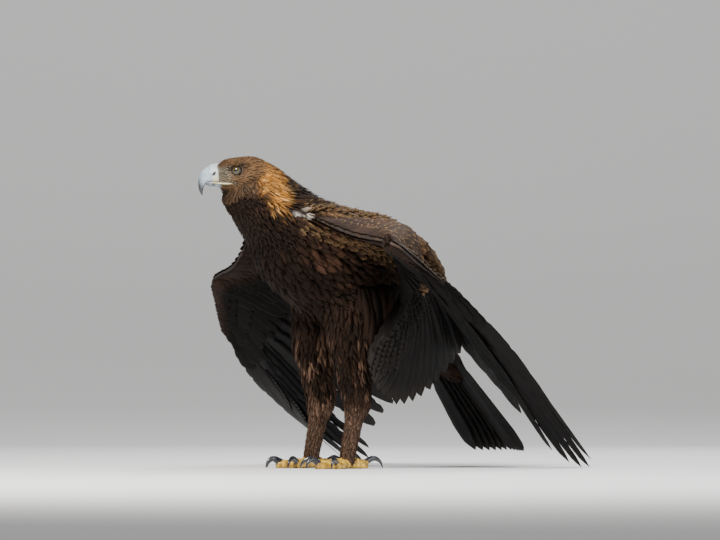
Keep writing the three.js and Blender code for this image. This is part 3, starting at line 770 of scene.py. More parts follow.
def lay_coat(name, root, way, spec, kind, patch, stations):
    """Feathers with their roots near the given points, that set off in the given ways. Where the outline
    turns sharply or would stretch them they are shorter. kind holds their material and a slot name."""
    look = spec(root)
    count = len(root)
    depth = coat_depth(root)
    point = root
    for _ in range(2):
        height, normal = field(point)
        point = point - normal * (height + depth)[:, None]
    side = np.cross(way, normal)
    turn = rng.normal(0, 1, count)[:, None] * look["ruffle"][:, None]
    way = unit(way + side * turn)
    length = look["length"] * rng.uniform(0.85, 1.15, count)
    v = np.linspace(0, 1, stations)
    lift = rng.uniform(0.55, 1.05, count)
    line, across, up = march(point, way, length, depth, lift, look["stand"], v)
    pace = np.linalg.norm(np.diff(line, axis=1), axis=2).max(1) * (stations - 1) / length
    bend = dot(up[:, 0], up[:, -1])[:, 0]
    length = length * np.clip(1.3 / pace, 0.45, 1) * mix(0.5, 1.0, smooth(bend, -0.2, 0.6))
    line, across, up = march(point, way, length, depth, lift, look["stand"], v)
    blunt = round_end(v, 0.55, 2.2)
    point_shape = (1 - v**1.6) ** 0.8
    base_shape = mix(0.35, 1.0, smooth(v, 0, 0.35))
    shape = base_shape * mix(blunt[None, :], point_shape[None, :], look["point"][:, None])
    half = np.maximum(0.5 * (look["width"] * length)[:, None] * shape, 0.12)
    fray = rng.uniform(0.8, 1.12, (2, count, stations))
    left, right = half * fray[0], half * fray[1]
    thick = np.maximum(0.18 * smooth(v, -0.3, 0.2) * (1 - 0.6 * v), 0.05)[None, :]
    thick = thick * np.minimum(length / 20, 1.4)[:, None]
    base = markings_and_shade(root) * rng.uniform(0.78, 1.24, count)[:, None]
    tone = shaded(base, v, SMALL_COLUMNS, look["worn"], look["worn_tone"][:, None, None, :])
    made = vanes(name, line, across, up, left, right, thick, 0.22, tone, patch, SMALL_COLUMNS)
    return finish_piece(made, *kind)


def look_of(points, row, gap, length, width, point, worn, worn_tone, ruffle=0.1, stand=0.0):
    """One look for every point, as arrays."""
    count = len(points)
    measures = dict(
        row=row, gap=gap, length=length, width=width, point=point, worn=worn, ruffle=ruffle, stand=stand
    )
    look = {key: np.broadcast_to(np.asarray(value, float), (count,)) for key, value in measures.items()}
    look["worn_tone"] = np.broadcast_to(worn_tone, (count, 3))
    return look


def head_look(points):
    """Short and blunt on the face, growing to long and pointed at the back of the head."""
    forward = (points - EYES_MIDDLE) @ AHEAD
    back = 1 - smooth(forward, -50, 12)
    face = smooth(forward, 14, 30)
    length = mix(mix(8.0, 26.0, back), 4.2, face)
    step = mix(mix(3.1, 5.0, back), 2.1, face)
    return look_of(
        points, step, step * 0.95, length, mix(0.55, 0.3, back), mix(0.3, 0.9, back), 0.25 + 0.3 * back,
        TONES["pale_gold"] * 0.6, ruffle=0.1, stand=1.2 * back,
    )


def neck_look(points):
    """Long, narrow and pointed over the nape, with pale tips that are partly painted highlight, and shorter
    and rounder below.
    """
    nape = smooth(over_neck(points), -32, -2)
    length = mix(20.0, 37.0, nape)
    # The nape's tips are 1.7 times its tone: their own pale colour, brightened further as painted highlight.
    return look_of(
        points, 4.8, 4.6, length, mix(0.38, 0.23, nape), mix(0.6, 1.0, nape), mix(0.1, 0.45, nape),
        blend(TONES["warm"], markings_and_shade(points) * 1.7, nape), ruffle=0.12, stand=2.5 * nape,
    )


def trunk_look(points):
    """Rounded body feathers, longer towards the tail."""
    y = points[:, 1]
    rear = smooth(y, 210, 300)
    length = mix(37.0, 66.0, rear)
    return look_of(
        points, mix(9.5, 13, rear), mix(9.5, 11, rear), length, mix(0.5, 0.4, rear), 0.5, 0.2,
        TONES["warm"] * 1.1, ruffle=0.16, stand=1.0,
    )


def throat_look(points):
    """Small, close and slightly ruffled."""
    return look_of(points, 3.0, 3.0, 15.0, 0.45, 0.5, 0.1, TONES["warm"], ruffle=0.14, stand=1.5)


def throat_coat():
    """Short feathers over the fold between jaw and neck, which slopes down to the front: places strewn
    along it are drawn onto the melted outline, and the feathers set off down the neck."""
    count = 1400
    forward, right = rng.uniform(-44, 30, count), rng.uniform(-40, 40, count)
    spot = on_head(forward, rng.uniform(-46, -22, count) - 0.59 * forward, right)
    for _ in range(4):
        height, normal = field(spot)
        spot = spot - normal * height[:, None]
    way = np.broadcast_to(unit(np.array([0.0, 0.45, -0.9])), spot.shape)
    patch = on_cell(CELLS["head"], (forward + 60) / 100, (right + 50) / 100)
    lay_coat("coat_throat", spot, way, throat_look, BODY_FEATHERS, patch, 8)


def mantle_look(points):
    """Broad round scapulars, longer to the rear, with worn pale tips that fade out there."""
    rear = smooth(points[:, 1], 120, 240)
    worn = mix(0.75, 0.45, rear) * (1 - smooth(points[:, 1], 235, 275))
    return look_of(
        points, mix(8.5, 12.0, rear), mix(9.5, 12.0, rear), mix(25.0, 44.0, rear), mix(0.6, 0.5, rear),
        0.12, worn, TONES["fringe"] * 0.7, ruffle=0.12, stand=1.2,
    )


def thigh_look(points):
    """Long loose feathers that shorten and close up towards the leg."""
    low = 1 - smooth(points[:, 2], 130, 260)
    return look_of(
        points, mix(9.0, 6.5, low), mix(8.0, 6.0, low), mix(40.0, 30.0, low), 0.34, 0.7, 0.25,
        TONES["warm"] * 1.2, ruffle=0.13, stand=1.0,
    )


def tarsus_look(points):
    """The close short feathers that cover the leg down to the toes."""
    return look_of(points, 4.2, 4.2, 13.0, 0.5, 0.5, 0.25, TONES["tan"], ruffle=0.12, stand=0.3)


def off_face(points):
    """Bare places of the face: the eyes with their lids, the bill and cere, and the gape."""
    rel = points - EYES_MIDDLE
    forward, up, right = rel @ AHEAD, rel[:, 2], np.abs(rel @ ACROSS)
    eye = np.hypot(forward - EYE_AHEAD, up) < 8.6
    gape = (np.abs(up - MOUTH_LINE) < 1.8) & (forward > 3)
    return ~((eye & (right > 14)) | gape | (forward > 33))


# Cells of the skin's unwrap: every form has a rectangle, as (left, low, width, height).
CELLS = {
    "body": (0.01, 0.01, 0.48, 0.46), "head": (0.01, 0.5, 0.3, 0.18),
    "mantle_left": (0.01, 0.7, 0.2, 0.28), "mantle_right": (0.23, 0.7, 0.2, 0.28),
    "thigh_left": (0.33, 0.5, 0.16, 0.18), "thigh_right": (0.45, 0.7, 0.14, 0.28),
    "tarsus_left": (0.51, 0.5, 0.08, 0.18), "tarsus_right": (0.61, 0.5, 0.08, 0.18),
    "left_upper": (0.51, 0.01, 0.22, 0.22), "left_under": (0.75, 0.01, 0.22, 0.22),
    "right_upper": (0.51, 0.25, 0.22, 0.22), "right_under": (0.75, 0.25, 0.22, 0.22),
    "tail": (0.72, 0.5, 0.26, 0.18),
    "flight_left": (0.61, 0.7, 0.18, 0.28), "flight_right": (0.8, 0.7, 0.18, 0.28),
}

BODY_FEATHERS, NAPE_FEATHERS = (CONTOUR, "contour_feathers"), (HACKLE, "nape_feathers")
body_coat("coat_head", "head", 0.02, 0.985, head_look, BODY_FEATHERS, CELLS["head"], 6, True, off_face)
body_coat("coat_neck", "body", 0.0, NECK_ENDS, neck_look, NAPE_FEATHERS, CELLS["body"], 8)
body_coat("coat_trunk", "body", NECK_ENDS * 0.92, 0.985, trunk_look, BODY_FEATHERS, CELLS["body"], 9)
throat_coat()
for wing_name in WINGS:
    limb_coats = ("mantle", mantle_look, 9), ("thigh", thigh_look, 8), ("tarsus", tarsus_look, 6)
    for part, look, steps in limb_coats:
        form_name = f"{part}_{wing_name}"
        cell = CELLS[form_name]
        body_coat(f"coat_{form_name}", form_name, 0.01, 0.985, look, BODY_FEATHERS, cell, steps)


# Wing coverts.
def wing_rows(wing, rows):
    """Roots of coverts as (q, s, length, half width): one row per entry, spaced by the feather's width."""
    out = []
    for s, arm_length, hand_length, width in rows:
        steps = np.linspace(0, 2, 200)
        path = wing.column(steps, np.full(200, s))
        run = np.concatenate([[0], np.linalg.norm(np.diff(path, axis=0), axis=1).cumsum()])
        number = int(run[-1] / (width * 0.62))
        at = (np.arange(number) + rng.uniform(0.3, 0.7, number)) * run[-1] / number
        q = np.interp(at, run, steps)
        length = mix(arm_length, hand_length, smooth(q, 0.75, 1.15)) * rng.uniform(0.9, 1.1, number)
        place = s + rng.uniform(-0.02, 0.02, number)
        out.append(np.column_stack([q, place, length, np.full(number, width / 2)]))
    return np.concatenate(out)


def wing_line(wing, q, s, length, stations):
    """Places s along each column that lie at even distances from the root, up to the feather's length."""
    many = 48
    spread = s[:, None] + (4 - s[:, None]) * np.linspace(0, 1, many) ** 1.5
    path = wing.column(np.repeat(q[:, None], many, 1), spread)
    run = np.linalg.norm(np.diff(path, axis=1), axis=2).cumsum(1)
    run = np.concatenate([np.zeros((len(q), 1)), run], 1)
    goal = length[:, None] * np.linspace(0, 1, stations)
    return np.stack([np.interp(goal[i], run[i], spread[i]) for i in range(len(q))])


def coverts(name, wing, side, rows, cell, tone, fringe, worn, stations=9):
    """Rows of coverts on the upper (side 1) or under (side -1) surface of a wing, each following its column
    at a height of most of the local half thickness, a little higher towards its tip."""
    q, s, length, half_width = wing_rows(wing, rows).T
    s = np.maximum(s, 0.01)
    count = len(q)
    places = wing_line(wing, q, s, length, stations)
    qs = np.repeat(q[:, None], stations, 1)
    across, normal = wing.frame(qs, places)[1:]
    v = np.linspace(0, 1, stations)
    order = (rng.uniform(0.0, 1.0, count))[:, None]
    height = wing.half(qs, places) * (0.72 + 0.16 * v) + 0.4 + 1.6 * v * order
    line = wing.column(qs, places) + normal * (side * height)[..., None]
    shape = mix(0.45, 1.0, smooth(v, 0, 0.3)) * round_end(v, 0.6, 2.4)
    half = np.maximum(half_width[:, None] * shape, 0.15)
    fray = rng.uniform(0.88, 1.08, (2, count, stations))
    thick = np.full((count, stations), 0.22) * (1 - 0.5 * v)
    base = tone(qs[:, 0], s, wing.column(q, s)) * rng.uniform(0.8, 1.22, count)[:, None]
    share = worn * mix(1.0, 0.45, smooth(s, 0.7, 1.1)) * rng.uniform(0.4, 1.25, count)
    colours = shaded(base, v, COVERT_COLUMNS, np.minimum(share, 0.9), fringe, 0.7)
    patch = on_cell(cell, q / 2, np.clip(s / 2, 0, 1))
    left, right = half * fray[0], half * fray[1]
    up = normal * side
    made = vanes(name, line, across, up, left, right, thick, 0.12, colours, patch, COVERT_COLUMNS)
    return finish_piece(made, *BODY_FEATHERS)


def flank_feathers(name, side):
    """A loose bunch of feathers, dark with the painted shade of the flanks, that hangs from the side of the
    trunk behind the wing's root.
    """
    count, stations = 46, 9
    spot = rng.random((count, 2))
    out, back = spot.T
    root = np.column_stack([side * mix(62, 88, out), mix(112, 192, back), mix(318, 300, out)])
    sway = side * rng.normal(0, 0.05, count), rng.normal(0.02, 0.08, count)
    way = unit(np.column_stack([*sway, np.full(count, -1.0)]))
    v = np.linspace(0, 1, stations)
    length = rng.uniform(80, 108, count)
    line = root[:, None] + way[:, None] * (length[:, None] * v)[..., None]
    line[..., 0] += side * 9 * np.sin(math.pi * v)
    up = np.broadcast_to(np.array([side, 0.0, 0.0]), line.shape)
    across = unit(np.cross(np.broadcast_to(way[:, None], line.shape), up))
    half = 9.5 * mix(0.4, 1.0, smooth(v, 0, 0.35)) * round_end(v, 0.55, 2.2, 0.001)
    half = np.broadcast_to(half, (count, stations))
    colours = shaded(markings_and_shade(root), v, SMALL_COLUMNS, np.full(count, 0.1), TONES["warm"] * 0.7)
    patch = on_cell(CELLS["body"], 0.25 + 0.1 * side + 0.05 * out, 0.4 + 0.2 * back)
    thick = np.broadcast_to(0.25 * (1 - 0.6 * v), (count, stations))
    made = vanes(name, line, across, up, half, half, thick, 0.2, colours, patch, SMALL_COLUMNS)
    finish_piece(made, *BODY_FEATHERS)


flank_feathers("coat_flank_left", 1)
flank_feathers("coat_flank_right", -1)

UPPER_ROWS = [(s, 36 + 12 * s, 17, 20 + 3 * s) for s in np.arange(0.02, 0.92, 0.13)]
UPPER_ROWS += [(0.95, 52, 24, 20), (1.05, 70, 60, 21), (1.2, 92, 105, 24), (1.32, 98, 118, 26)]
UNDER_ROWS = [(s, 26 + 10 * s, 14, 14) for s in np.arange(0.02, 0.92, 0.11)]
UNDER_ROWS += [(0.95, 44, 26, 18), (1.1, 64, 60, 20), (1.3, 84, 95, 24)]


def upper_tone(q, s, points):
    """Brown coverts, greyer over the hand, with lighter ones near the leading edge."""
    near = 1 - smooth(s, 0.3, 0.9)
    share = 0.6 * near * smooth(noise(points, 30.0, 6), 0.3, 0.8)
    tone = blend(TONES["covert"], TONES["warm"] * 1.5, share)
    return blend(tone, TONES["grey"] * 0.6, 0.7 * smooth(q, 0.95, 1.2))


def under_tone(_q, s, _points):
    """Near-black lining, brown along the leading edge; both are darkened to 0.75 as painted shade
    under the wing.
    """
    return blend(TONES["covert"] * 0.75, TONES["under"] * 0.75, smooth(s, 0.1, 0.8))


for wing_name, wing in WING.items():
    for face, side, rows, tone, fringe, worn in (
        ("upper", 1, UPPER_ROWS, upper_tone, TONES["fringe"], 0.75),
        ("under", -1, UNDER_ROWS, under_tone, TONES["warm"] * 0.6, 0.05),
    ):
        cell = CELLS[f"{wing_name}_{face}"]
        coverts(f"coverts_{wing_name}_{face}", wing, side, rows, cell, tone, fringe, worn)


# Flight feathers.
FEATHER_ROLL = 0.035


def flight(name, line, across, up, half, narrow, base, patch, tip_tone, worn):
    """Long stiff feathers with a raised shaft: the leading vane is the narrow share of the width. Each lies
    turned a little about its shaft, so that neighbours overlap like slats."""
    count, stations = line.shape[:2]
    v = np.linspace(0, 1, stations)
    turned = unit(across + up * FEATHER_ROLL)
    upward = unit(up - across * FEATHER_ROLL)
    splits = rng.random((2, count, stations))
    fray = 1 - 0.16 * (splits > 0.9) * (v > 0.25) - rng.uniform(0, 0.03, splits.shape)
    left = half * 2 * (1 - narrow) * fray[0]
    right = half * 2 * narrow * fray[1]
    thick = np.full((count, stations), 0.55) * (1 - 0.6 * v)
    colours = shaded(base, v, LARGE_COLUMNS, np.full(count, worn), tip_tone, 0.9, 0.9)
    return vanes(
        name, line, turned, upward, left, right, thick, 0.05, colours, patch, LARGE_COLUMNS, rachis=0.7
    )


PRIMARY_HALF = ([0, 0.08, 0.3, 0.6, 0.85, 0.94, 0.985, 1], [3, 9, 18, 22, 21, 16, 8, 0.6])
FINGER_HALF = ([0, 0.08, 0.3, 0.52, 0.6, 0.7, 0.86, 0.95, 0.985, 1], [3, 9, 18, 20, 18, 10.5, 8, 6, 3, 0.5])
SECONDARY_HALF = ([0, 0.1, 0.35, 0.8, 0.93, 0.98, 1], [3, 9, 15, 17, 13, 7, 0.6])
RECTRIX_HALF = ([0, 0.1, 0.4, 0.85, 0.94, 0.98, 1], [3, 8, 14, 20, 16, 9, 0.8])


def remiges(name, wing, q, halves, stations, solid, cell):
    """The flight feathers of an arm or a hand, along the columns of the wing."""
    count = len(q)
    v = np.linspace(0, 1, stations)
    qs = np.repeat(q[:, None], stations, 1)
    s = np.broadcast_to(1 + 3 * v, qs.shape)
    across, normal = wing.frame(qs, s)[1:]
    line = wing.column(qs, s) + normal * rng.uniform(-0.4, 0.4, (count, 1, 1))
    # Near-black quills: the feathers' dark brown, darkened with painted shade.
    base = mix(TONES["quill"], TONES["under"], rng.uniform(0, 1, (count, 1)))
    half = np.stack([np.interp(v, *table) for table in halves])
    patch = on_cell(cell, q / 2, np.full(count, 0.5))
    made = flight(name, line, across, normal, half, 0.36, base, patch, TONES["grey"] * 0.45, 0.25)
    lift_to_floor(made.data)
    return finish_piece(made, FLIGHT, "flight_feathers", solid)


OVER_FLOOR = 0.0002  # metres


def lift_to_floor(mesh):
    """Points under the floor are laid just over it."""
    points = points_of(mesh)
    points[:, 2] = np.maximum(points[:, 2], OVER_FLOOR)
    mesh.vertices.foreach_set("co", points.ravel())
    mesh.update()


for wing_name, wing in WING.items():
    cell = CELLS[f"flight_{wing_name}"]
    q = 1 + (np.arange(10) + 0.5) / 10
    halves = [PRIMARY_HALF if k < 4 else FINGER_HALF for k in range(10)]
    remiges(f"primaries_{wing_name}", wing, q, halves, 44, f"wing_{wing_name}_primaries", cell)
    q = (np.arange(SECONDARIES) + 0.5) / SECONDARIES
    halves = [SECONDARY_HALF] * SECONDARIES
    remiges(f"secondaries_{wing_name}", wing, q, halves, 32, f"wing_{wing_name}_secondaries", cell)


def tail_feathers():
    """Twelve feathers in a closed fan. Feather j runs straight from the base to the tip line, raised in the
    middle of the fan by an arch that grows along the feather."""
    lie = unit(TAIL_TIP - TAIL_BASE)
    top = unit(np.cross((1, 0, 0), lie))
    share = (np.arange(TAIL_FEATHERS) + 0.5) / TAIL_FEATHERS * 2 - 1
    start = TAIL_BASE + np.outer(share * TAIL_HALF[0], (1, 0, 0))
    end = TAIL_TIP + np.outer(share * TAIL_HALF[1], (1, 0, 0)) - np.outer(TAIL_ROUNDNESS * share**2, lie)
    stations = 36
    v = np.linspace(0, 1, stations)
    line = mix(start[:, None], end[:, None], v[None, :, None])
    arch = TAIL_ARCH * (1 - share[:, None] ** 2) * np.sin(math.pi * v / 2)
    arch = arch + 1.2 * (1 - np.abs(share[:, None])) * 6 * v
    line = line + top * arch[..., None]
    across = np.broadcast_to(unit(np.cross(lie, top)), line.shape) * -np.sign(share)[:, None, None]
    up = np.broadcast_to(top, line.shape)
    half = np.broadcast_to(np.interp(v, *RECTRIX_HALF), (TAIL_FEATHERS, stations))
    # Near-black tail feathers: their dark brown, darkened with painted shade.
    base = mix(TONES["quill"], TONES["under"], rng.uniform(0, 1, (TAIL_FEATHERS, 1)))
    patch = on_cell(CELLS["tail"], share / 2 + 0.5, np.full(TAIL_FEATHERS, 0.5))
    made = flight("tail_feathers", line, across, up, half, 0.42, base, patch, TONES["grey"] * 0.5, 0.3)
    return finish_piece(made, FLIGHT, "flight_feathers", "tail")


tail_feathers()


# Skin.
def joined_shells(shell_list):
    """Vertices and polygons of several closed shells, each of its own size."""
    vertices, faces, offset = [], [], 0
    for rings in shell_list:
        quads, caps = ring_faces(1, rings.shape[0], rings.shape[1])
        vertices.append(rings.reshape(-1, 3))
        faces += (quads + offset).tolist() + (caps + offset).tolist()
        offset += rings.shape[0] * rings.shape[1]
    return np.concatenate(vertices), faces


def skin_rings():
    """Every form, less the coat's depth, and a flat sheet for the flesh of each wing."""
    out = []
    for tube in FORMS.values():
        t, turn = np.meshgrid(np.linspace(0.004, 0.996, 40), turns(28), indexing="ij")
        rings = tube.point(t, turn)
        centre = tube.frame(t)[0]
        inward = unit(centre - rings)
        depth = np.minimum(coat_depth(rings), 0.5 * np.linalg.norm(centre - rings, axis=-1))
        out.append(rings + inward * depth[..., None])
    for wing in WING.values():
        s = np.linspace(0.03, 1.6, 14)
        qs, ss = np.meshgrid(np.linspace(0.03, 1.97, 50), s, indexing="ij")
        normal = wing.frame(qs, ss)[2]
        half = np.maximum(wing.half(qs, ss) * 0.5, 2.6)[..., None]
        middle = wing.column(qs, ss)
        out.append(np.concatenate([middle + normal * half, (middle - normal * half)[:, ::-1]], 1))
    return out


SKIN_VOXEL = 0.0035  # metres
SKIN_SHADE = 0.55  # of the feathers' tone: painted shade, since the skin shows only in the gaps between them


def make_skin():
    """One remeshed skin over all forms, drawn to the melted outline less the coat's depth."""
    vertices, faces = joined_shells(skin_rings())
    mesh = bpy.data.meshes.new("skin")
    mesh.from_pydata(to_frame(vertices).tolist(), [], faces)
    made = add_object("skin", mesh)
    remesh = made.modifiers.new("one", "REMESH")
    remesh.mode, remesh.voxel_size = "VOXEL", SKIN_VOXEL
    soften = made.modifiers.new("soft", "SMOOTH")
    soften.factor, soften.iterations = 0.5, 6
    shaped = bpy.data.meshes.new_from_object(made.evaluated_get(bpy.context.evaluated_depsgraph_get()))
    made.modifiers.clear()
    made.data = shaped
    points = points_of(shaped) * 1000.0 + MIDDLE
    for _ in range(2):
        height, normal = field(points)
        off = height + coat_depth(points)
        share = 1 - smooth(np.abs(off), 6, 14)
        points = points - normal * (off * share)[:, None]
    shaped.vertices.foreach_set("co", to_frame(points).astype(np.float32).ravel())
    shaped.polygons.foreach_set("use_smooth", np.ones(len(shaped.polygons), bool))
    paint(shaped, markings_and_shade(points) * SKIN_SHADE)
    shaped.update()
    flesh = ["head", "neck", "trunk"]
    flesh += [f"{part}_{side}" for part in ("mantle", "thigh", "tarsus") for side in WINGS]
    flesh += [f"wing_{side}_{part}" for side in WINGS for part in ("arm", "hand")]
    return finish_piece(made, SKIN, "contour_feathers", *flesh)


make_skin()


# Head details.
def tube_rings(tube, rings, around, shape=None, start=0.0, end=1.0):
    """Rings round a tube. shape(t, angle) gives factors for the across and up parts."""
    t, angle = np.meshgrid(np.linspace(start, end, rings), turns(around), indexing="ij")
    factors = shape(t, angle) if shape else ()
    return tube.point(t, angle, *factors), t, angle


def bill_shape(_t, angle):
    """A ridge along the top, and flat walls that turn in under the edge."""
    top = np.maximum(np.sin(angle), 0)
    boxed = (np.abs(np.cos(angle)) ** 4 + np.abs(np.sin(angle)) ** 4) ** -0.25
    low = np.where(np.sin(angle) < 0, boxed, 1.0)
    return (1 - 0.3 * top**2) * low, (1 + 0.05 * top**8) * mix(1.0, low, 0.6)


def head_part(name, table, start, end, tone, kind, solid, rings, around, shape=bill_shape, carve=None):
    """A piece of the bill from t = start to end of its stations. kind holds its material and a slot name."""
    ring, t, angle = tube_rings(head_tube(table), rings, around, shape, start, end)
    if carve is not None:
        ring = carve(ring)
    made = shells(name, ring[None], tone(ring, t, angle)[None])
    return finish_piece(made, *kind, solid)


def along_bill(forward):
    """Value of t at which the upper bill's axis passes a forward distance."""
    t = np.linspace(0, 0.6, 400)
    table = np.array(UPPER_BILL, float)
    return float(np.interp(forward, spline(table[:, :2], t)[:, 0], t))


def bill_tone(ring, t, angle):
    """Pale blue-grey horn at the base, its blue partly a painted reflection of the sky, darker along the
    ridge and slate black at the hook.
    """
    grey, dark, pale = linear("#94a3b3"), linear("#23262b"), linear("#b4c0ca")
    clouds = 0.5 * smooth(noise(ring.reshape(-1, 3), 6.0, 8), 0.3, 0.8)
    tone = mix(grey, pale, clouds.reshape(t.shape)[..., None])
    share = smooth(t + 0.08 * np.sin(angle), 0.42, 0.78)
    return mix(tone, dark, share[..., None])


NOSTRIL_AT, NOSTRIL_HALF, NOSTRIL_DEPTH = (40.5, -5.5), (1.9, 3.9), 3.2


def nostril_share(ring, margin=0.0):
    """1 inside a slanting oval on the side of the cere, falling to 0 outside it."""
    rel = ring - EYES_MIDDLE
    forward, up = rel @ AHEAD - NOSTRIL_AT[0], rel[..., 2] - NOSTRIL_AT[1]
    a, b = forward * 0.8 + up * 0.6, -forward * 0.6 + up * 0.8
    half = NOSTRIL_HALF[0] + margin, NOSTRIL_HALF[1] + margin
    return np.exp(-((a / half[0]) ** 2 + (b / half[1]) ** 2) ** 2)


def nostril(ring):
    """The cere with a pit in each side."""
    right = (ring - EYES_MIDDLE) @ ACROSS
    return ring - ACROSS * (np.sign(right) * nostril_share(ring) * NOSTRIL_DEPTH)[..., None]


def cere_tone(ring, _t, _angle):
    """Pale blue-grey above, yellowish towards the mouth, black in the nostril."""
    up = (ring - EYES_MIDDLE)[..., 2]
    pit = nostril_share(ring, 0.2)
    tone = mix(linear("#aeb6bb"), linear("#c3c0a6"), smooth(-up, 2, 15)[..., None])
    return mix(tone, linear("#191613"), pit[..., None])


def plain_tone(light, dark, size=5.0):
    """A tone that drifts between two colours over that size in mm."""

    def tone(ring, t, _angle):
        share = smooth(noise(ring.reshape(-1, 3), size, 9), 0.25, 0.8).reshape(t.shape)
        return mix(linear(light), linear(dark), share[..., None])

    return tone


seam = along_bill(CERE_ENDS_AT)
mandible_tone = plain_tone("#7f868d", "#454a50")
cere = [(f, u, h + 0.4, a + 0.5, b + 0.4) for f, u, h, a, b in UPPER_BILL]
head_part("bill_upper_horn", UPPER_BILL, seam, 1.0, bill_tone, (HORN, "horn"), "bill_upper", 80, 48)
head_part(
    "cere_skin", cere, 0.0, seam + 0.004, cere_tone, (CERE, "cere_skin"), "cere", 70, 96, carve=nostril
)
head_part(
    "bill_lower_horn", LOWER_BILL, 0.0, 1.0, mandible_tone, (HORN, "horn"), "bill_lower", 40, 40, None
)


def gape(name, side):
    """The fleshy corner of the mouth: a roll along the lower edge of the cere and the cheek to under
    the eye."""
    forward = np.array([46, 40, 33, 26, 18, 10, 3.0])
    up = np.array([-19.5, -20.5, -21, -21.4, -21.6, -21.4, -20.8])
    table, bill = np.array(HEAD, float), np.array(UPPER_BILL, float)
    size = spline(table[:, 1:], np.interp(forward, table[:, 0], np.linspace(0, 1, len(table))))
    on_skull = size[:, 1] * np.sqrt(np.clip(1 - ((up - size[:, 0]) / size[:, 3]) ** 2, 0.05, 1))
    on_bill = np.interp(forward, bill[:3, 0], bill[:3, 2]) * 0.94
    out = np.where(forward > 31, on_bill, np.maximum(on_skull - 1.6, on_bill))
    width = np.array([0.6, 0.9, 1.1, 1.25, 1.3, 1.2, 0.4])
    sizes = np.column_stack([width, width * 1.1, width * 1.1])
    rings, t, angle = tube_rings(Tube(on_head(forward, up, side * out), sizes, ACROSS), 48, 16)
    tone = plain_tone("#d3cba6", "#b7a988")(rings, t, angle)
    made = shells(f"gape_{name}", rings[None], tone[None])
    finish_piece(made, CERE, "cere_skin")


def eye_ways(side):
    """Middle of an eyeball, the way it looks, and the ways across and up at right angles to that."""
    gaze = unit(side * ACROSS + 0.28 * AHEAD)
    right = unit(np.cross(gaze, UP))
    return on_head(EYE_AHEAD, 0.0, side * EYE_OUT), gaze, right, np.cross(right, gaze)


def spoke(right, above, turn):
    """The way out from the gaze at an angle round it: right x cos(turn) + above x sin(turn)."""
    return right * np.cos(turn)[..., None] + above * np.sin(turn)[..., None]


def eyeball(name, side):
    """A ball with a slightly raised cornea, painted with a dark pupil, a rayed iris and a dark edge."""
    centre, gaze, right, above = eye_ways(side)
    polar = np.linspace(0.0005, math.pi - 0.0005, 60)
    polar, turn = np.meshgrid(polar, turns(64), indexing="ij")
    radius = EYE_RADIUS * (1 + 0.03 * np.exp(-((polar / 0.55) ** 2)))
    way = gaze * np.cos(polar)[..., None] + spoke(right, above, turn) * np.sin(polar)[..., None]
    off = np.sin(polar) * EYE_RADIUS
    rays = 0.5 + 0.5 * np.sin(turn * 23 + 3 * np.sin(turn * 5))
    iris = mix(linear("#2e2610"), linear("#5b4d24"), (rays * smooth(off, 2.2, 4.5))[..., None])
    tone = mix(linear("#050505"), iris, smooth(off, 2.35, 2.75)[..., None])
    tone = mix(tone, linear("#120d0a"), smooth(off, 5.6, 6.4)[..., None])
    ball = shells(f"eyeball_{name}", (centre + radius[..., None] * way)[None], tone[None])
    finish_piece(ball, EYE, "eye", f"eye_{name}")


def eyelids(name, side):
    """The dark rim round the eye: a thin roll on a circle that is drawn in at the top and bottom."""
    centre, gaze, right, above = eye_ways(side)
    turn, around = np.meshgrid(np.arange(49) * math.tau / 48, turns(12), indexing="ij")
    ring_radius = LID_RADIUS * (1 - 0.06 * np.abs(np.sin(turn)) - 0.2 * np.maximum(np.sin(turn), 0) ** 2)
    out = ring_radius + LID_HALF[0] * np.cos(around)
    proud = LID_PROUD + LID_HALF[1] * np.sin(around)
    lid = centre + spoke(right, above, turn) * out[..., None] + gaze * proud[..., None]
    colour = plain_tone("#0b0908", "#1a1512", 3.0)(lid, turn, around)
    finish_piece(shells(f"lid_{name}", lid[None], colour[None]), SKIN, "contour_feathers")


# Places on the head are measured to the bird's right, so its left side is -1 here.
for side_name, side in (("left", -1), ("right", 1)):
    gape(side_name, side)
    eyeball(side_name, side)
    eyelids(side_name, side)


# Feet.
SCUTE = 5.5


def toes(name, side):
    """Toes as tapering rolls with cross scales on top and pads below, resting on flats."""
    out = []
    for _name, turn, length, radius, _reach in TOES:
        way, start = toe_way(turn, side)
        taper = np.array([1.15, 1, 0.92, 0.78])
        lift = np.array([0.4, 0, -1, -1])
        run = -4 + (length + 4) * np.arange(4) / 3
        centres = start + run[:, None] * way + UP * (radius * taper + lift)[:, None]
        across = np.cross(way, UP)
        sizes = np.repeat((radius * taper)[:, None], 3, 1)

        def shape(t, angle):
            furrow = np.abs(np.cos(t * length * math.pi / SCUTE)) ** 8
            scutes = 1 - 0.1 * furrow * np.clip(np.sin(angle) + 0.3, 0, 1)
            joints = 0.92 - 0.09 * np.cos(t * 3 * math.tau)
            return scutes * joints, scutes * mix(joints, 0.97, np.clip(-np.sin(angle), 0, 1))

        rings = tube_rings(Tube(centres, sizes, across), 56, 24, shape)[0]
        rings[..., 2] = np.maximum(rings[..., 2], 0.0)
        out.append(rings)
    rings = np.stack(out)
    points = rings.reshape(-1, 3)
    tone = blend(linear("#c9a13a"), linear("#8f6c22"), smooth(noise(points, 5.0, 10), 0.3, 0.85))
    made = shells(f"toes_{name}", rings, tone.reshape(rings.shape))
    finish_piece(made, SCALES, "foot_skin", f"foot_{name}")


def toe_way(turn, side):
    """A toe's level direction, turned outward by that many degrees from straight ahead, and its start."""
    angle = math.radians(side * turn)
    return np.array([math.sin(angle), -math.cos(angle), 0.0]), np.array([side * ANKLE[0], ANKLE[1], 0.0])


